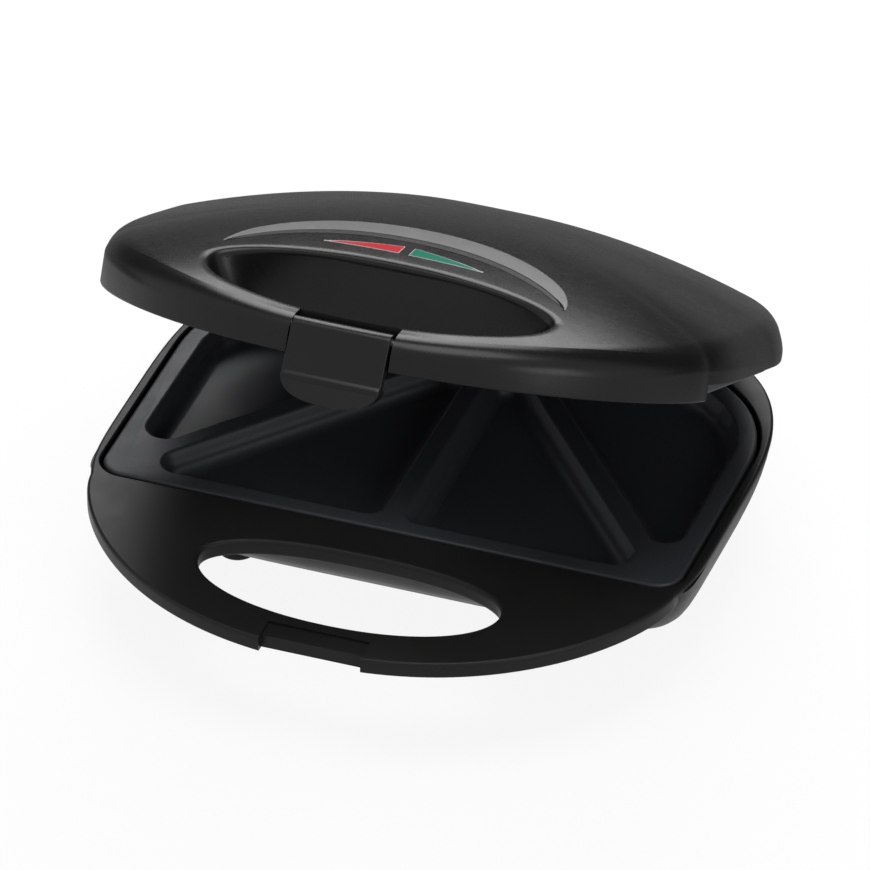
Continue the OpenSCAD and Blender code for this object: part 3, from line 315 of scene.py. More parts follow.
# The bowl's hollow, and what stands in it
heights = np.array([7, 8.5, 10, 12, 14, 17, 20, 23.5, 27, 30.5, 34, 38, 41])
rows = spline(BOWL, np.clip(heights, 5.7, 38))
hollow = loft("hollow", [bowl_ring(z, r, WALL) for z, r in zip(heights, rows)])
combine(hollow, block((-120, -150, 37.5), (120, 100, 45)))
for sx in (-1, 1):
    combine(hollow, rod((sx * SCREW_X, SCREW_Y, 4), (0, 0, 1), 4.5, 30.3, 48))
    combine(hollow, block((sx * HINGE_X - 13.1, 63, 4), (sx * HINGE_X + 13.1, 93, 22.5)))
    for sy in (-1, 1):
        combine(hollow, rod((sx * FOOT_X, sy * FOOT_Y, 4), (0, 0, 1), 7, 5, 48))
combine(hollow, rod((GLAND_X, 73, GLAND_Z), (0, 1, 0), 8, 12, 48))
combine(hollow, block((-8, 45, 4), (24, 59, 9)))
combine(base_housing, hollow)
combine(base_housing, rod((GLAND_X, 73, GLAND_Z), (0, 1, 0), 8, 9, 48), "UNION")


def corner_plan(grow):
    """Plan of the cooking plates, with tight corners in front and wide ones behind."""
    w, y0, y1 = PLATE_X + grow, PLATE_Y0 - grow, PLATE_Y1 + grow
    ring = []
    for q, (x, y, r) in enumerate(((w, y0, 9), (w, y1, 48), (-w, y1, 48), (-w, y0, 9))):
        r += grow
        for a in np.radians(np.linspace(-90, 0, 8 * FINE + 1) + 90 * q):
            ring.append((x - math.copysign(r, x) + r * math.cos(a),
                         y - (r if y > 0 else -r) + r * math.sin(a)))
    return np.array(ring)


opening = [level(corner_plan(1.2 + k), z) for z, k in
           ((31, 0), (39.3, 0), (39.6, 0.1), (39.85, 0.35), (40, 0.7), (40.4, 1.2))]
combine(base_housing, loft("opening", opening))


def hole_size(lift, pad):
    """Half-width, middle and reach to the front and to the rear of the finger hole: lift 0 is
    at the parting plane, 1 at its rim on the lid."""
    flare = 8.5 * lift ** 1.5
    return (54 + flare + pad, HOLE_Y - 0.25 * flare,
            24.3 + 0.28 * flare + pad, 16.2 - 0.63 * flare + pad)


def hole_plan(lift, pad, steps):
    """Plan of the finger hole at a lift."""
    w, mid, near, far = hole_size(lift, pad)
    a = np.radians(np.linspace(180, 360, steps + 1))
    front = np.stack([w * power(np.cos(a), 0.95), mid + near * np.sin(a)], 1)
    a = np.radians(np.linspace(0, 180, steps + 1)[1:-1])
    rear = np.stack([w * power(np.cos(a), 0.8), mid + far * np.sin(a)], 1)
    return np.concatenate([front, rear])


lips = ((33.5, 1.3), (34, 0.7), (34.3, 0.3), (34.7, 0.08), (35.2, 0), (38.5, 0), (39, 0.1),
        (39.4, 0.35), (39.75, 0.8), (39.95, 1.4), (40.01, 1.8), (40.5, 2.6))
combine(base_housing, loft("finger_hole", [level(hole_plan(0, k, 48 * FINE), z) for z, k in lips]))
combine(base_housing, block((-NOTCH_W, FRONT_Y - 1, 33), (NOTCH_W, FRONT_Y + NOTCH_D, 42)))
combine(base_housing, block((-NOTCH_W, FRONT_Y - 1, 39), (NOTCH_W, FRONT_Y + NOTCH_D + 7, 42)))
for s in (-1, 1):
    combine(base_housing, block((s * HINGE_X - 11.6, 64.5, 22.5), (s * HINGE_X + 11.6, 104.5, 62)))
    combine(base_housing, rod((s * HINGE_X, 69, 12), (0, 0, 1), THREAD_R, 20))
    combine(base_housing, block((s * SCREW_X - 7, 63, 34.4), (s * SCREW_X + 7, 73.5, 55)))
    combine(base_housing, block((s * TONGUE_X - 7.5, -70.5, 34.9), (s * TONGUE_X + 7.5, -61, 36.7)))
    combine(base_housing, rod((s * SCREW_X, SCREW_Y, 20.4), (0, 0, 1), 1.8, 15))
    for t in (-1, 1):
        combine(base_housing, rod((s * FOOT_X, t * FOOT_Y, 3.5), (0, 0, 1), 3.05, 20))
    for vent_y in range(-24, 25, 8):
        combine(base_housing, block((s * 30 - 12, vent_y - 1.25, 3.5),
                                    (s * 30 + 12, vent_y + 1.25, 8)))
combine(base_housing, block((-12, 73, 27), (22, 113, 67)))
combine(base_housing, rod((GLAND_X, 52, GLAND_Z), (0, 1, 0), 5.55, 40, 48))


def polish(piece, sharp=32):
    """Merges doubled points, smooths the shading up to an angle and keeps flat faces flat."""
    pick(piece)
    bpy.ops.object.mode_set(mode="EDIT")
    bpy.ops.mesh.select_all(action="SELECT")
    bpy.ops.mesh.remove_doubles(threshold=0.000002)
    bpy.ops.object.mode_set(mode="OBJECT")
    bpy.ops.object.shade_smooth_by_angle(angle=math.radians(sharp))
    even = piece.modifiers.new("even", "WEIGHTED_NORMAL")
    even.keep_sharp = True
    even.weight = 60
    bpy.ops.object.modifier_apply(modifier=even.name)


def stand(piece):
    """Moves a piece from the toaster's own middle to the frame's, with its place in its mesh."""
    piece.data.transform(Matrix.Translation((0, SHIFT * MM, 0)))


def dress(piece, material, body, slot_name, *nodes):
    """Gives a finished piece its material, the body it moves with and the nodes it replaces."""
    piece.data.materials.clear()
    piece.data.materials.append(material)
    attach(piece, body)
    if nodes:
        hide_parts(*nodes)


def texture(tree, kind, scale, where, **values):
    node = tree.nodes.new("ShaderNodeTex" + kind)
    node.inputs["Scale"].default_value = scale
    for key, value in values.items():
        node.inputs[key.replace("_", " ")].default_value = value
    tree.links.new(where, node.inputs["Vector"])
    return node


def tint(tree, value, first, second):
    """A colour between two, as a value goes from 0 to 1."""
    node = tree.nodes.new("ShaderNodeMix")
    node.data_type = "RGBA"
    node.inputs["A"].default_value = (*first, 1)
    node.inputs["B"].default_value = (*second, 1)
    tree.links.new(value, node.inputs["Factor"])
    return node.outputs["Result"]


def relief(tree, height, strength, distance, under=None):
    node = tree.nodes.new("ShaderNodeBump")
    node.inputs["Strength"].default_value = strength
    node.inputs["Distance"].default_value = distance
    tree.links.new(height, node.inputs["Height"])
    if under is not None:
        tree.links.new(under, node.inputs["Normal"])
    return node.outputs["Normal"]


def new_material(name):
    """A material, its nodes, its shader and the place on the piece that its textures read."""
    material = bpy.data.materials.new(name)
    material.use_nodes = True
    tree = material.node_tree
    here = tree.nodes.new("ShaderNodeTexCoord").outputs["Object"]
    return material, tree, tree.nodes["Principled BSDF"], here


def colour_by(tree, shader, value, low, high, first, second):
    """Goes from one colour to another as a texture's value goes from low to high."""
    mixed = tint(tree, between(tree, value, low, high, 0, 1), first, second)
    tree.links.new(mixed, shader.inputs["Base Color"])


def roughen(tree, shader, value, low, high, smooth, rough):
    """Goes from smooth to rough as a texture's value goes from low to high."""
    tree.links.new(between(tree, value, low, high, smooth, rough), shader.inputs["Roughness"])


def moulded_plastic(name, colour, dust, rough, gloss=0.5, grain=0.12):
    """Moulded plastic: fine spark-eroded grain, slow waves of shrinkage, rubbed patches."""
    material, tree, shader, here = new_material(name)
    patches = texture(tree, "Noise", 26, here, Detail=5, Roughness=0.62)
    rubs = texture(tree, "Noise", 130, here, Detail=6, Roughness=0.7)
    specks = texture(tree, "Voronoi", 950, here, Randomness=1)
    grain_noise = texture(tree, "Noise", 2600, here, Detail=2, Roughness=0.5)
    waves = texture(tree, "Noise", 60, here, Detail=1)
    colour_by(tree, shader, patches.outputs["Fac"], 0.42, 0.74, colour, dust)
    rubbed = between(tree, rubs.outputs["Fac"], 0.35, 0.7, -0.02, 0.03)
    both = tree.nodes.new("ShaderNodeMath")
    both.operation = "ADD"
    tree.links.new(rubbed, both.inputs[0])
    worn = between(tree, patches.outputs["Fac"], 0.3, 0.7, rough - 0.015, rough + 0.02)
    tree.links.new(worn, both.inputs[1])
    tree.links.new(both.outputs[0], shader.inputs["Roughness"])
    shader.inputs["Specular IOR Level"].default_value = gloss
    slow = relief(tree, waves.outputs["Fac"], 0.03, 0.0006)
    fine = relief(tree, specks.outputs["Distance"], grain * 0.5, 0.00012, slow)
    finest = relief(tree, grain_noise.outputs["Fac"], grain, 0.00008, fine)
    tree.links.new(finest, shader.inputs["Normal"])
    return material


base_plastic = moulded_plastic("base_plastic", (0.0105, 0.0105, 0.0102),
                               (0.0125, 0.0125, 0.012), 0.4, 0.15, 0.12)
polish(base_housing)
stand(base_housing)
dress(base_housing, base_plastic, "base", "base_plastic", "base_shell")

# =====================================================================
# Feet: four turned rubber feet with a hollow under them, pressed with their pegs into
# holes in the base's floor.
# =====================================================================
def foot(x, y):
    """Rings of a turned foot and its peg, as radii and heights from the table top up."""
    profile = ((2.6, 0.6), (3.4, 0.2), (4.4, 0), (5.2, 0.05), (5.9, 0.25), (6.5, 0.7), (6.9, 1.4),
               (7, 2.2), (7, 4.0), (6.8, 4.4), (3, 4.45), (3, 6.8), (2.8, 7))
    a = np.radians(np.linspace(0, 360, 32 * FINE, endpoint=False))
    return [np.stack([x + r * np.cos(a), y + r * np.sin(a), np.full(len(a), z)], 1)
            for r, z in profile]


feet = loft("feet", foot(-FOOT_X, -FOOT_Y))
for x, y in ((FOOT_X, -FOOT_Y), (-FOOT_X, FOOT_Y), (FOOT_X, FOOT_Y)):
    more = loft("foot", foot(x, y))
    more.select_set(True)
    feet.select_set(True)
    bpy.context.view_layer.objects.active = feet
    bpy.ops.object.join()
polish(feet, 40)
stand(feet)
foot_rubber = moulded_plastic("foot_rubber", (0.012, 0.012, 0.012), (0.03, 0.03, 0.03),
                              0.72, 0.25, 0.35)
dress(feet, foot_rubber, "base", "foot_rubber", "rubber_feet")

# =====================================================================
# Hinge: two clevis blocks screwed in the base's slots, two ground steel pins, and two arms
# screwed in the lid whose rolled ends turn on the pins.
# =====================================================================
def round_edges(piece, width, facing):
    """Bevels the edges whose faces turn by more than an angle."""
    round_edge = piece.modifiers.new("round", "BEVEL")
    round_edge.width = width * MM
    round_edge.segments = 2
    round_edge.limit_method = "ANGLE"
    round_edge.angle_limit = math.radians(facing)
    bpy.ops.object.modifier_apply(modifier=round_edge.name)


def softened(name, node, width):
    """A copy of a CAD node's shape whose edges get the small round of a real piece."""
    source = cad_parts[node]
    piece = bpy.data.objects.new(name, source.data.copy())
    bpy.context.scene.collection.objects.link(piece)
    pick(piece)
    bpy.ops.object.mode_set(mode="EDIT")
    bpy.ops.mesh.select_all(action="SELECT")
    bpy.ops.mesh.remove_doubles(threshold=0.000005)
    bpy.ops.mesh.dissolve_limited(angle_limit=math.radians(0.5))
    bpy.ops.object.mode_set(mode="OBJECT")
    round_edges(piece, width, 34)
    polish(piece)
    return piece


block_plastic = moulded_plastic("hinge_block_plastic", (0.009, 0.009, 0.009),
                                (0.016, 0.016, 0.016), 0.45, 0.4, 0.2)
dress(softened("hinge_blocks", "base_hinge_blocks", 0.4), block_plastic, "base",
      "hinge_block_plastic", "base_hinge_blocks")
arm_plastic = moulded_plastic("hinge_arm_plastic", (0.009, 0.009, 0.009),
                              (0.018, 0.018, 0.018), 0.42, 0.4, 0.2)
dress(softened("hinge_arms", "lid_hinge_arms", 0.4), arm_plastic, "lid",
      "hinge_arm_plastic", "lid_hinge_arms")


def metal(name, colour, stain, rough, brush=(1, 1, 1)):
    """Metal with fine marks of drawing or rolling, and a thin stain from heat and handling."""
    material, tree, shader, here = new_material(name)
    shader.inputs["Metallic"].default_value = 1.0
    lay = tree.nodes.new("ShaderNodeMapping")
    lay.inputs["Scale"].default_value = brush
    tree.links.new(here, lay.inputs["Vector"])
    lines = texture(tree, "Noise", 900, lay.outputs[0], Detail=4, Roughness=0.6)
    cloud = texture(tree, "Noise", 90, here, Detail=5, Roughness=0.6)
    colour_by(tree, shader, cloud.outputs["Fac"], 0.4, 0.75, colour, stain)
    roughen(tree, shader, lines.outputs["Fac"], 0.3, 0.7, rough - 0.07, rough + 0.1)
    tree.links.new(relief(tree, lines.outputs["Fac"], 0.1, 0.00006), shader.inputs["Normal"])
    return material


def paint(material, *nodes):
    """Gives CAD nodes that stay a material of their own."""
    for node in nodes:
        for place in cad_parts[node].material_slots:
            place.material = material


pin_steel = metal("pin_steel", (0.62, 0.62, 0.63), (0.5, 0.48, 0.45), 0.22, (0.05, 1, 1))
paint(pin_steel, "hinge_pins", "latch_pin")
screw_steel = metal("screw_steel", (0.55, 0.55, 0.56), (0.42, 0.41, 0.4), 0.32)
paint(screw_steel, "hinge_block_screws", "lower_strap_screws", "lower_reflector_screws",
      "lower_plate_screws", "cord_clamp_screws", "liner_screws", "upper_strap_screws",
      "upper_reflector_screws", "upper_plate_screws", "thermostat_screws", "hinge_arm_screws")

# =====================================================================
# Mains fittings: a rubber gland pushed through the back wall, a moulded bridge that clamps
# the cord, and an ivory terminal block screwed to its rib.
# =====================================================================
gland_rubber = moulded_plastic("gland_rubber", (0.011, 0.011, 0.011), (0.028, 0.027, 0.026),
                               0.66, 0.3, 0.3)
dress(softened("gland", "cord_gland", 0.5), gland_rubber, "base", "gland_rubber", "cord_gland")
clamp_plastic = moulded_plastic("clamp_plastic", (0.01, 0.01, 0.01), (0.02, 0.02, 0.02),
                                0.5, 0.4, 0.2)
dress(softened("clamp", "cord_clamp", 0.4), clamp_plastic, "base", "clamp_plastic", "cord_clamp")
terminal_plastic = moulded_plastic("terminal_plastic", (0.72, 0.68, 0.57), (0.6, 0.55, 0.43),
                                   0.42, 0.5, 0.15)
dress(softened("terminals", "terminal_block", 0.35), terminal_plastic, "base",
      "terminal_plastic", "terminal_block")

# =====================================================================
# Leads: silicone-sleeved wires from the terminals to the hinge axis and on into the lid,
# of a dull brick red, slightly chalky.
# =====================================================================
lead_silicone = moulded_plastic("lead_silicone", (0.3, 0.07, 0.035), (0.4, 0.14, 0.08),
                                0.6, 0.35, 0.3)
paint(lead_silicone, "base_leads", "lid_leads")

# =====================================================================
# Heaters: one loop of steel-sheathed heating tube for each plate, gone straw and blue
# from heat, pressed on by stamped straps and covered by a bright sheet-steel pan.
# =====================================================================
heater_sheath = metal("heater_sheath", (0.34, 0.31, 0.27), (0.2, 0.2, 0.24), 0.4)
paint(heater_sheath, "lower_heater", "upper_heater")
strap_steel = metal("strap_steel", (0.56, 0.56, 0.57), (0.45, 0.43, 0.4), 0.35, (1, 0.05, 1))
paint(strap_steel, "lower_heater_straps", "upper_heater_straps", "fuse_clip")
reflector_sheet = metal("reflector_sheet", (0.74, 0.75, 0.76), (0.6, 0.58, 0.52),
                        0.25, (0.06, 1, 1))
paint(reflector_sheet, "lower_reflector", "upper_reflector")

# =====================================================================
# Cooking plates: two like castings of aluminium with a sprayed non-stick coat. Each toast
# has two triangular pockets with sloping sides, parted by a ridge; tubs stand out behind.
# =====================================================================
POCKET_X, POCKET_Y0, POCKET_Y1 = 98, -58, 56
POCKET_R, RIDGE = 7.0, 3.5  # the pockets' corners, and how far they keep from the ridge
STRAP_X, PAN_Y, TUB_Y = 39.9, 30, -1  # where the straps and the reflector pan are screwed on


def pocket_rings(core):
    """Rings of a pocket round the straight-sided core that its corner balls span."""
    core = np.array(core, float)
    mid = core.mean(0)
    core = core[np.argsort(np.arctan2(core[:, 1] - mid[1], core[:, 0] - mid[0]))]
    ahead = np.roll(core, -1, 0) - core
    facing = np.arctan2(-ahead[:, 0], ahead[:, 1])
    profile = [(8.6, -0.3), (8.0, -0.005), (7.55, 0.08), (7.15, 0.32), (6.85, 0.75), (6.6, 1.3),
               (5.4, 3.0), (4.6, 4.4)]
    profile += [(4.6 * math.cos(a), 4.4 + 4.6 * math.sin(a))
                for a in np.radians((12, 25, 38, 50, 61, 71, 80))]
    rings = []
    for r, u in profile:
        ring = []
        for i, c in enumerate(core):
            a0, a1 = facing[i - 1], facing[i]
            if a1 < a0:
                a1 += 2 * math.pi
            ring += [(c[0] + r * math.cos(a), c[1] + r * math.sin(a), u)
                     for a in np.linspace(a0, a1, 5 * FINE + 1)]
        rings.append(ring)
    return rings


def tub_plan(s):
    """Plan of the tub that stands out behind the pockets of one toast."""
    x0, x1, y0, y1 = 1.3, 100.2, -60.2, 58.2
    ring = []
    for q, (x, y, r) in enumerate(((x1, y0, 9), (x1, y1, 43.2), (x0, y1, 9), (x0, y0, 9))):
        cx, cy = x - (r if x == x1 else -r), y - (r if y == y1 else -r)
        ring += [(cx + r * math.cos(a), cy + r * math.sin(a))
                 for a in np.radians(np.linspace(-90, 0, 5 * FINE + 1) + 90 * q)]
    ring = np.array(ring)
    return ring if s > 0 else ring[::-1] * (-1, 1)


rim_curve = ((0, 1.2), (0.06, 0.75), (0.3, 0.28), (0.7, 0.05), (1.1, 0), (8.1, 0),
             (8.35, 0.15), (8.5, 0.4))
casting = loft("lower_casting", [level(corner_plan(-k), z) for z, k in rim_curve])
inside_curve = ((2.8, 5), (3.0, 3.6), (3.6, 2.9), (9, 2.8))
combine(casting, loft("inside", [level(corner_plan(-k), z) for z, k in inside_curve]))
for s in (-1, 1):
    middle = (s * 50.75, TUB_Y)
    tub = [level(tub_plan(s), 2.3), level(tub_plan(s), 10.8)]
    tub += [level((tub_plan(s) - middle) * k + middle, z) for z, k in ((11.5, 0.993), (11.8, 0.98))]
    combine(casting, loft("tub", tub), "UNION")
    combine(casting, rod((s * STRAP_X, TUB_Y, 10.8), (0, 0, 1), 4, 7.6, 48), "UNION")
    combine(casting, rod((0, TUB_Y + s * PAN_Y, 2.3), (0, 0, 1), 3.25, 21.1, 48), "UNION")
    combine(casting, block((s * SCREW_X - 6, 60.5, 3.4), (s * SCREW_X + 6, 72.5, 5.6)), "UNION")
    combine(casting, block((s * TONGUE_X - 7, -70, 3.4), (s * TONGUE_X + 7, -64, 5.0)), "UNION")
# Corner points of the pockets' cores: the diagonal's ends stay clear of the ridge
width, depth = POCKET_X - RIDGE, POCKET_Y1 - POCKET_Y0
diagonal = math.hypot(width, depth)
ax = (POCKET_R + RIDGE) * diagonal / depth + POCKET_R * width / depth
ay = (POCKET_R + RIDGE) * diagonal / width + POCKET_R * depth / width
for s in (-1, 1):
    front = [(s * (RIDGE + POCKET_R), POCKET_Y0 + POCKET_R), (s * (POCKET_X - ax), POCKET_Y0 + POCKET_R),
             (s * (RIDGE + POCKET_R), POCKET_Y1 - ay)]
    rear = [(s * (POCKET_X - POCKET_R), POCKET_Y0 + ay), (s * (RIDGE + ax), POCKET_Y1 - POCKET_R)]
    rear += [(s * (57 + 34 * math.cos(a)), 15 + 34 * math.sin(a))
             for a in np.radians((8, 20, 32, 45, 58, 70, 82))]
    for core in (front, rear):
        combine(casting, loft("pocket", pocket_rings(core)))
    combine(casting, rod((s * STRAP_X, TUB_Y, 11.8), (0, 0, 1), 1.8, 20))
    combine(casting, rod((0, TUB_Y + s * PAN_Y, 6.8), (0, 0, 1), 1.8, 30))
    combine(casting, rod((s * SCREW_X, SCREW_Y, 2.4), (0, 0, 1), 2.0, 5))
polish(casting, 28)
upper_casting = bpy.data.objects.new("upper_casting", casting.data.copy())
bpy.context.scene.collection.objects.link(upper_casting)
flip = Matrix.Translation((0, 0, 40 * MM)) @ Matrix.Scale(-1, 4, (0, 0, 1))
casting.data.transform(flip)
casting.data.flip_normals()
stand(casting)
LID_OPEN = 27
# From the shut lid to the open one
SWING = (Matrix.Translation((0, (SHIFT + HINGE_Y) * MM, HINGE_Z * MM))
         @ Matrix.Rotation(math.radians(-LID_OPEN), 4, "X")
         @ Matrix.Translation((0, -HINGE_Y * MM, -HINGE_Z * MM)))
upper_casting.data.transform(SWING @ Matrix.Translation((0, 0, 40.8 * MM)))


def coated_casting(name):
    """Sprayed non-stick coat on cast aluminium: satin dark grey, speckled and slightly wavy."""
    material, tree, shader, here = new_material(name)
    specks = texture(tree, "Voronoi", 1400, here, Randomness=1)
    mottle = texture(tree, "Noise", 40, here, Detail=6, Roughness=0.65)
    orange_peel = texture(tree, "Noise", 620, here, Detail=3, Roughness=0.55)
    speckled = between(tree, specks.outputs["Distance"], 0.05, 0.3, 1, 0)
    tree.links.new(tint(tree, speckled, (0.031, 0.033, 0.038), (0.055, 0.058, 0.066)),
                   shader.inputs["Base Color"])
    shader.inputs["Metallic"].default_value = 0.15
    shader.inputs["Specular IOR Level"].default_value = 0.3
    roughen(tree, shader, mottle.outputs["Fac"], 0.3, 0.7, 0.4, 0.52)
    soft = relief(tree, orange_peel.outputs["Fac"], 0.22, 0.00015)
    grainy = relief(tree, specks.outputs["Distance"], 0.08, 0.00006, soft)
    tree.links.new(grainy, shader.inputs["Normal"])
    return material


dress(casting, coated_casting("lower_nonstick"), "base", "lower_nonstick", "lower_plate")
dress(upper_casting, coated_casting("upper_nonstick"), "lid", "upper_nonstick", "upper_plate")

# =====================================================================
# Lid housing: a black moulding with a soft gloss, domed over the plate and drawn out in front
# to a loop handle. The finger hole flares to a rounded lip; the front ends in a soft crease.
# =====================================================================
CREST_Y, CREST_H, EDGE_H, LID_Z = -7.5, 40.05, 17.7, 40.6
LID_PLAN = (113.1, 108.4, 6, -1, (3.32, 1.67))  # what outline takes after the inset
PIN_Y, PIN_Z = -133.0, 49.5
LINER_X, LINER_Y = 78, -86
dense = outline(0, *LID_PLAN, 400)
polar = np.arctan2(dense[:, 1] - CREST_Y, dense[:, 0])
order = np.argsort(polar)
polar, reach = polar[order], np.hypot(dense[order, 0], dense[order, 1] - CREST_Y)


def dish(x, y):
    """How far the middle of the handle's bar dips."""
    return 2.5 * np.exp(-(x / 45) ** 2 - ((y - FRONT_Y - 12.5) / 14) ** 2)


def dome(x, y):
    """Height of the lid's outer skin."""
    r = np.hypot(x, y - CREST_Y) + 1e-9
    s = r / np.interp(np.arctan2(y - CREST_Y, x), polar, reach, period=2 * math.pi)
    f = np.maximum(0, -(y - CREST_Y) / r)
    edge, roll = EDGE_H - 4.9 * f ** 3, 7 * (1 - f)
    rolled = roll * np.maximum(0, (s - 0.93) / 0.07) ** 2.5
    return PARTING + edge + (CREST_H - edge) * (1 - s ** 2) - rolled - dish(x, y)


def rise(y, lift, mid, near):
    """How high the finger hole's wall is over the parting plane at a lift."""
    return lift * (15.5 + 0.36 * (y - mid + near))


def hole_point(a, lift, pad=0):
    """Where a ray at angle a from the hole's middle meets its wall at a lift."""
    w, mid, near, far = hole_size(lift, pad)
    low, high = np.full(len(a), 4.0), np.full(len(a), 90.0)
    for _ in range(40):
        r = (low + high) / 2
        x, y = r * np.cos(a), HOLE_Y + r * np.sin(a) - mid
        outside = np.where(y < 0, np.abs(x / w) ** (2 / 0.95) + (y / near) ** 2,
                           np.abs(x / w) ** 2.5 + (y / far) ** 2) > 1
        high, low = np.where(outside, r, high), np.where(outside, low, r)
    x, y = r * np.cos(a), HOLE_Y + r * np.sin(a)
    return x, y, PARTING + rise(y, lift, mid, near)


# The lid's rim in even steps, and for each point where the finger hole's wall meets the skin
count = 240 * FINE
rim = outline(0, *LID_PLAN, 400)
steps = np.hypot(*(np.roll(rim, -1, 0) - rim).T)
along = np.concatenate([[0], np.cumsum(steps)])
closed = np.concatenate([rim, rim[:1]])
at = np.linspace(0, along[-1], count, endpoint=False)
rim = np.stack([np.interp(at, along, closed[:, 0]), np.interp(at, along, closed[:, 1])], 1)
way = np.roll(rim, -1, 0) - np.roll(rim, 1, 0)
out = np.stack([way[:, 1], -way[:, 0]], 1) / np.hypot(*way.T)[:, None]
rays = np.arctan2(rim[:, 1] - HOLE_Y, rim[:, 0])
low, high = np.zeros(count), np.full(count, 1.8)
for _ in range(40):
    lift = (low + high) / 2
    x, y, z = hole_point(rays, lift)
    above = z > dome(x, y)
    high, low = np.where(above, lift, high), np.where(above, low, lift)


def arc(a, corner, b, steps):
    """Points of a rounded corner between two rings."""
    return [(1 - t) ** 2 * a + 2 * t * (1 - t) * corner + t * t * b
            for t in np.linspace(0, 1, steps)]


wall_rings = [np.stack(hole_point(rays, lift * k), 1) for k in np.linspace(0, 0.9, 5 * FINE)]
wall_rings[0][:, 2] = LID_Z
corner = np.stack(hole_point(rays, lift), 1)
down = wall_rings[-1] - corner
below = corner + down * (3.4 / np.linalg.norm(down, axis=1))[:, None]
x, y, _ = hole_point(rays, lift, 3.6)
lip = np.stack([x, y, dome(x, y)], 1)
rings = wall_rings + arc(below, corner, lip, 4 * FINE + 1)
crease = (2.6 + 2.9 * np.clip((-rim[:, 1] - 75) / 35, 0, 1))[:, None]
inner = rim - out * crease
share_of_way = np.linspace(0, 1, 34 * FINE + 1)[1:]
share_of_way = 1 - (1 - share_of_way) ** 1.35
for t in share_of_way:
    p = lip[:, :2] * (1 - t) + inner * t
    rings.append(np.column_stack([p, dome(p[:, 0], p[:, 1])]))
edge_z = dome(rim[:, 0] * 0.99999, (rim[:, 1] - CREST_Y) * 0.99999 + CREST_Y)
top_edge = np.column_stack([rim, edge_z])
side_top = np.column_stack([rim, edge_z - crease[:, 0]])
rings += arc(rings[-1], top_edge, side_top, 4 * FINE + 1)[1:]
rings.append(np.column_stack([rim, np.full(count, LID_Z + 0.8)]))
rings.append(np.column_stack([rim - out * 0.25, np.full(count, LID_Z + 0.2)]))
rings.append(np.column_stack([rim - out * 0.8, np.full(count, LID_Z)]))
lid_housing = loft("lid_housing", rings, loop=True)

# What is hollow in the lid, less the walls and bosses that stand in it
plan = outline(WALL, *LID_PLAN, 20 * FINE)
rings = [level(plan, 39)]
centre = np.array([0, CREST_Y])
for s in (1, 0.985, 0.965, 0.93, 0.86, 0.76, 0.64, 0.5, 0.35, 0.18, 0.05):
    q = centre + s * (plan - centre)
    v = plan - centre
    f = np.maximum(0, -v[:, 1] / np.hypot(*v.T))
    edge = EDGE_H - 4.7 * f ** 3
    rolled = 7 * (1 - f) * max(0, (s - 0.93) / 0.07) ** 2.5
    z = PARTING + edge + (CREST_H - edge) * (1 - s * s) - rolled - dish(q[:, 0], q[:, 1]) - 2.9
    rings.append(np.column_stack([q, z]))
hollow = loft("hollow", rings)


def shaft(pad, lifts):
    """The finger hole as a solid, grown all round by the pad."""
    rings = [level(hole_plan(0, pad, 24 * FINE), PARTING - 1)]
    for lift in lifts:
        plan = hole_plan(lift, pad, 24 * FINE)
        _, mid, near, _ = hole_size(lift, pad)
        rings.append(np.column_stack([plan, PARTING + rise(plan[:, 1], lift, mid, near)]))
    return loft("shaft", rings)


combine(hollow, block((-120, -69, 0), (120, -66.5, 200)))
combine(hollow, shaft(WALL, (0, 0.2, 0.4, 0.6, 0.8, 1, 1.3, 1.7)))
combine(hollow, block((-NOTCH_W - 5, FRONT_Y, 38), (NOTCH_W + 5, FRONT_Y + 22.5, 100)))
for s in (-1, 1):
    combine(hollow, rod((s * SCREW_X, SCREW_Y, 46.5), (0, 0, 1), 4.5, 50, 32))
    combine(hollow, rod((s * LINER_X, LINER_Y, 42.7), (0, 0, 1), 3.5, 50, 32))
    combine(hollow, rod((s * 34, -76.3, 62.8), (0, 0, 1), 3, 40, 32))
    for t in (-6, 6):
        combine(hollow, rod((s * HINGE_X + t, 69, 52.1), (0, 0, 1), 4, 50, 32))
combine(lid_housing, hollow)
combine(lid_housing, block((-125, -66.5, 30), (125, 100, 46.5)))
combine(lid_housing, loft("room", [level(corner_plan(0.5), z) for z in (30, 51.3)]))
for s in (-1, 1):
    combine(lid_housing, block((s * TONGUE_X - 7.5, -70.5, 44.1), (s * TONGUE_X + 7.5, -61, 45.9)))
    combine(lid_housing, rod((s * SCREW_X, SCREW_Y, 40), (0, 0, 1), 1.8, 17.2))
    combine(lid_housing, rod((s * LINER_X, LINER_Y, 38), (0, 0, 1), THREAD_R, 12.6))
    for t in (-6, 6):
        combine(lid_housing, rod((s * HINGE_X + t, 69, 40), (0, 0, 1), THREAD_R, 20))
combine(lid_housing, block((-NOTCH_W, FRONT_Y - 5, 45.4), (NOTCH_W, FRONT_Y + 10.9, 90)))
combine(lid_housing, block((-NOTCH_W, FRONT_Y - 5, 38), (NOTCH_W, FRONT_Y + 4.7, 90)))
combine(lid_housing, rod((-22, PIN_Y, PIN_Z), (1, 0, 0), THREAD_R, 44))


def inlay(name, front, back, above, below, across=5):
    """A strip laid on the lid's skin between two lines of points."""
    rings = []
    for p, q in zip(front, back):
        way = [p + (q - p) * t for t in np.linspace(0, 1, across)]
        rings.append([(w[0], w[1], dome(w[0], w[1]) - below) for w in way]
                     + [(w[0], w[1], dome(w[0], w[1]) + above) for w in way[::-1]])
    return loft(name, rings)


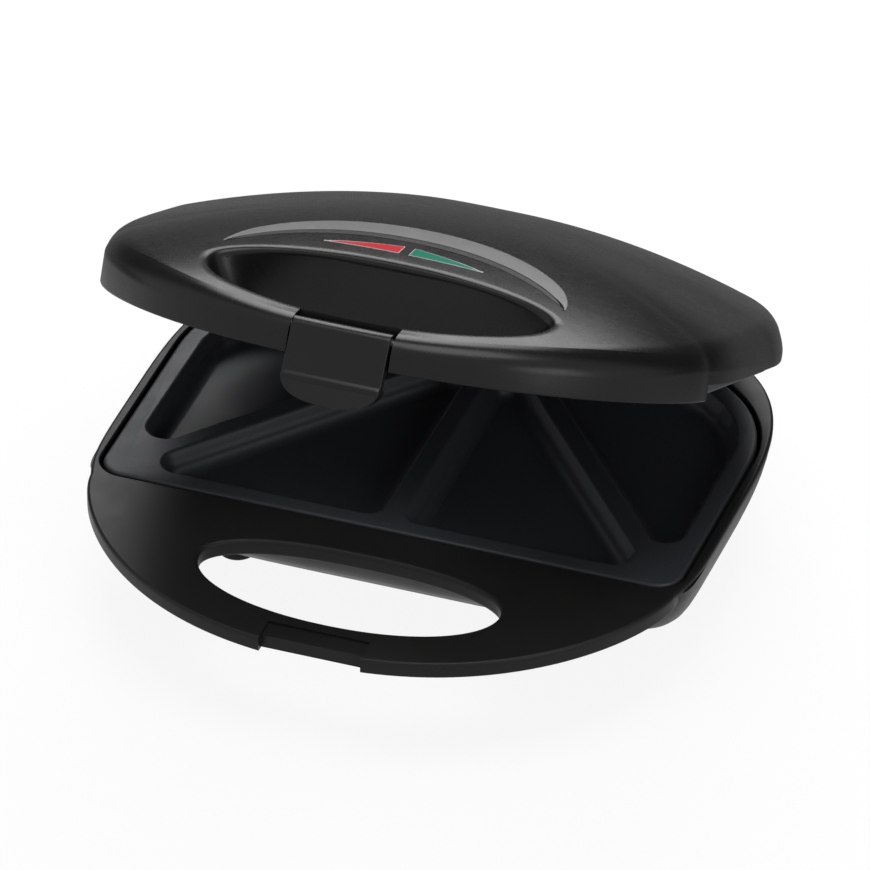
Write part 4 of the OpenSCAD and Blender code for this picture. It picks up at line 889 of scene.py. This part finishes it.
def window_lines(s, grow, steps=24):
    """Front and back line of a wedge-shaped window, wide at the middle of the lid."""
    t = np.linspace(0, 1, steps)
    x = 1.8 - grow + (26.7 + 3 * grow) * t
    h = np.maximum(0.6, 6.9 * (1 - t) ** 0.75)
    front = np.stack([s * x, np.full(steps, -80.3 - grow)], 1)
    return front, np.stack([s * x, -80.3 + h + grow], 1)


def crescent_lines(grow, start=0.0, end=1.0, steps=90):
    """Front and back line of a band of the crescent, as shares of its width."""
    a = np.radians(np.linspace(176, 4, steps))
    front = np.stack([60.5 * np.cos(a), -90.4 + 22 * np.sin(a) ** 1.5 - grow], 1)
    back = np.stack([(62 + grow) * np.cos(a), -89.2 + 36.7 * np.sin(a) ** 1.1 + grow], 1)
    thin = (0.5 - 0.5 * np.clip(2.4 * np.sin(a), 0, 1) ** 0.8)[:, None] * 0.9
    width = back - front
    return (front + width * (start + (1 - start) * thin),
            front + width * (end - (end - start) * thin))


for s in (-1, 1):
    combine(lid_housing, inlay("window", *window_lines(s, 0.25), 3, 9))
combine(lid_housing, inlay("seat", *crescent_lines(0.15), 3, 0.9))
polish(lid_housing, 30)
lid_housing.data.transform(SWING)
lid_plastic = moulded_plastic("lid_plastic", (0.0045, 0.0045, 0.0044),
                              (0.0054, 0.0054, 0.0052), 0.27, 0.22, 0.05)
dress(lid_housing, lid_plastic, "lid", "lid_plastic", "lid_shell")

# =====================================================================
# Crescent: a thin moulded inlay behind the windows, in two bands with a fine groove between
# them; it is glued in its seat. Its light grey is partly silver paint and partly a painted
# reflection of soft light, and its dark front band is painted shade.
# =====================================================================
# One paint for both bands; the colour handed in carries painted light as well as the paint's own tone.
def silver_paint_with_painted_light(name, colour, dust, rough):
    material, tree, shader, here = new_material(name)
    flakes = texture(tree, "Voronoi", 2600, here, Randomness=1)
    cloud = texture(tree, "Noise", 70, here, Detail=5, Roughness=0.6)
    colour_by(tree, shader, cloud.outputs["Fac"], 0.35, 0.75, colour, dust)
    shader.inputs["Metallic"].default_value = 0.55
    roughen(tree, shader, flakes.outputs["Distance"], 0, 0.6, rough - 0.06, rough + 0.08)
    tree.links.new(relief(tree, flakes.outputs["Distance"], 0.1, 0.00005), shader.inputs["Normal"])
    return material


crescent_band = inlay("crescent_band", *crescent_lines(0, 0.27, 1), 0.1, 0.8, 9)
crescent_painted_shade_strip = inlay("crescent_painted_shade_strip", *crescent_lines(0, 0, 0.22), 0.1, 0.8, 5)
# The wide band's grey 0.15 is partly silver paint and partly a painted reflection; the narrow strip's
# near-black 0.02 is the same paint as painted shade in the step.
for piece, grey in ((crescent_band, 0.15), (crescent_painted_shade_strip, 0.02)):
    polish(piece, 40)
    piece.data.transform(SWING)
    silver = silver_paint_with_painted_light(piece.name + "_paint", (grey,) * 3, (grey * 0.8,) * 3, 0.36)
    dress(piece, silver, "lid", "crescent_silver", "silver_crescent")

# =====================================================================
# Indicator windows: two clear-tinted acrylic wedges, red at the left and green at the right,
# snapped in the lid from below, each with a fine pale line round it.
# =====================================================================
def tinted_acrylic(name, colour, deep):
    material, tree, shader, here = new_material(name)
    depth = texture(tree, "Noise", 160, here, Detail=3, Roughness=0.5)
    ribs = texture(tree, "Wave", 420, here, Distortion=0.4)
    colour_by(tree, shader, depth.outputs["Fac"], 0.35, 0.7, colour, deep)
    roughen(tree, shader, depth.outputs["Fac"], 0.3, 0.7, 0.14, 0.24)
    shader.inputs["Coat Weight"].default_value = 0.2
    shader.inputs["Coat Roughness"].default_value = 0.08
    tree.links.new(relief(tree, ribs.outputs["Fac"], 0.05, 0.0001), shader.inputs["Normal"])
    return material


red_acrylic = tinted_acrylic("red_acrylic", (0.56, 0.022, 0.032), (0.46, 0.015, 0.024))
green_acrylic = tinted_acrylic("green_acrylic", (0.0, 0.2, 0.125), (0.0, 0.155, 0.095))
trim_white = moulded_plastic("trim_white", (0.42, 0.42, 0.42), (0.34, 0.34, 0.34), 0.4, 0.4, 0.05)
for s, name, acrylic in ((-1, "red", red_acrylic), (1, "green", green_acrylic)):
    trim = inlay(name + "_trim", *window_lines(s, 0.05), 0.06, 1.4)
    combine(trim, inlay("inside", *window_lines(s, -0.25), 1, 3))
    polish(trim)
    trim.data.transform(SWING)
    dress(trim, trim_white, "lid", "lens_" + name)
    lens = inlay(name + "_window", *window_lines(s, -0.3), 0.1, 2, 7)
    polish(lens, 40)
    lens.data.transform(SWING)
    dress(lens, acrylic, "lid", "lens_" + name, name + "_lens")

# =====================================================================
# Lamps: an ivory bracket under the windows with two small glass neon lamps, and on the
# upper plate a ceramic thermostat and a thermal fuse.
# =====================================================================
dress(softened("lamp_bracket", "lamp_holder", 0.3), terminal_plastic, "lid",
      "terminal_plastic", "lamp_holder")
neon, tree, shader, here = new_material("lamp_glass")
film = texture(tree, "Noise", 260, here, Detail=4, Roughness=0.6)
colour_by(tree, shader, film.outputs["Fac"], 0.35, 0.7, (0.8, 0.42, 0.26), (0.62, 0.3, 0.18))
roughen(tree, shader, film.outputs["Fac"], 0.3, 0.7, 0.08, 0.2)
paint(neon, "neon_lamps")
ceramic = moulded_plastic("thermostat_ceramic", (0.74, 0.7, 0.6), (0.6, 0.55, 0.45),
                          0.55, 0.4, 0.3)
paint(ceramic, "thermostat")
fuse_body = moulded_plastic("fuse_body", (0.5, 0.4, 0.24), (0.4, 0.3, 0.17), 0.4, 0.5, 0.2)
paint(fuse_body, "thermal_fuse")

# =====================================================================
# Liner: a flat black cover that closes the lid's handle from below, held by two screws.
# =====================================================================
liner_plastic = moulded_plastic("liner_plastic", (0.008, 0.008, 0.008), (0.014, 0.014, 0.014),
                                0.42, 0.4, 0.2)
dress(softened("handle_liner", "lid_handle_liner", 0.3), liner_plastic, "lid",
      "liner_plastic", "lid_handle_liner")

# =====================================================================
# Latch clip: a springy black moulding that swings on a steel pin in the lid's front notch.
# Its front is slightly bowed, with a rounded top, a raised ridge low down and a D-shaped
# tongue; a hook behind the ridge catches under the base's handle.
# =====================================================================
CLIP_W, CLIP_LOW, SHAPED_Y = 17.5, -24.9, -5  # in front of SHAPED_Y the clip is bowed
profile = [(-6.1, 0.4), (-5.9, 1.2), (-5.28, 2.08), (-4.45, 2.8), (-3.4, 3.2), (0.0, 3.25),
           (1.4, 2.95), (2.6, 2.0), (3.2, 0.8), (3.25, -0.6), (2.8, -1.7), (1.9, -2.7),
           (0.6, -3.2), (-0.8, -3.15), (-2.0, -2.6), (-2.6, -2.2), (-3.0, -2.2), (-3.1, -2.8),
           (-3.1, -15.9), (-1.1, -15.9), (-0.9, -16.2), (-1.0, -16.9), (-3.6, -19.9),
           (-4.6, CLIP_LOW), (-7.5, CLIP_LOW), (-6.35, -18.4), (-6.8, -17.6), (-6.85, -16.6),
           (-6.25, -15.7), (-6.1, -15.1)]
dense_profile = []
for p, q in zip(profile, profile[1:] + profile[:1]):
    n = max(1, int(math.dist(p, q) / 1.6))
    for k in range(n):
        dense_profile.append((p[0] + (q[0] - p[0]) * k / n, p[1] + (q[1] - p[1]) * k / n))
round_end = [(-17.5, 0.55), (-17.42, 0.25), (-17.15, 0.0)]
stations = round_end + [(x, 0.0) for x in np.linspace(-16, 16, 12 * FINE + 1)]
stations += [(-x, shrink) for x, shrink in reversed(round_end)]
rings = []
for x, shrink in stations:
    bow = 0.38 * (1 - (x / CLIP_W) ** 2)
    rings.append([(x, y + shrink * 0.6 - bow if y < SHAPED_Y else y, z) for y, z in dense_profile])
latch_clip = loft("clip", rings)
tongue = [(17.6 * x, CLIP_LOW + 9.5 * (1 - (1 - abs(x) ** 2.5) ** 0.4))
          for x in np.sin(np.radians(np.linspace(-90, 90, 48 * FINE)))]
trimmer = tongue + [(24, -15.4), (24, -40), (-24, -40), (-24, -15.4)]
combine(latch_clip, loft("trimmer", [[(x, y, z) for x, z in trimmer] for y in (-20, 20)]))
combine(latch_clip, rod((-20, 0, 0), (1, 0, 0), THREAD_R, 40))
pick(latch_clip)
round_edges(latch_clip, 0.28, 50)
polish(latch_clip, 36)
hang = Matrix.Translation((0, PIN_Y * MM, PIN_Z * MM)) @ Matrix.Rotation(math.radians(-10), 4, "X")
latch_clip.data.transform(SWING @ hang)
latch_plastic = moulded_plastic("latch_plastic", (0.005, 0.005, 0.005),
                                (0.0068, 0.0068, 0.0068), 0.3, 0.22, 0.1)
dress(latch_clip, latch_plastic, "latch", "latch_plastic", "latch_clip")
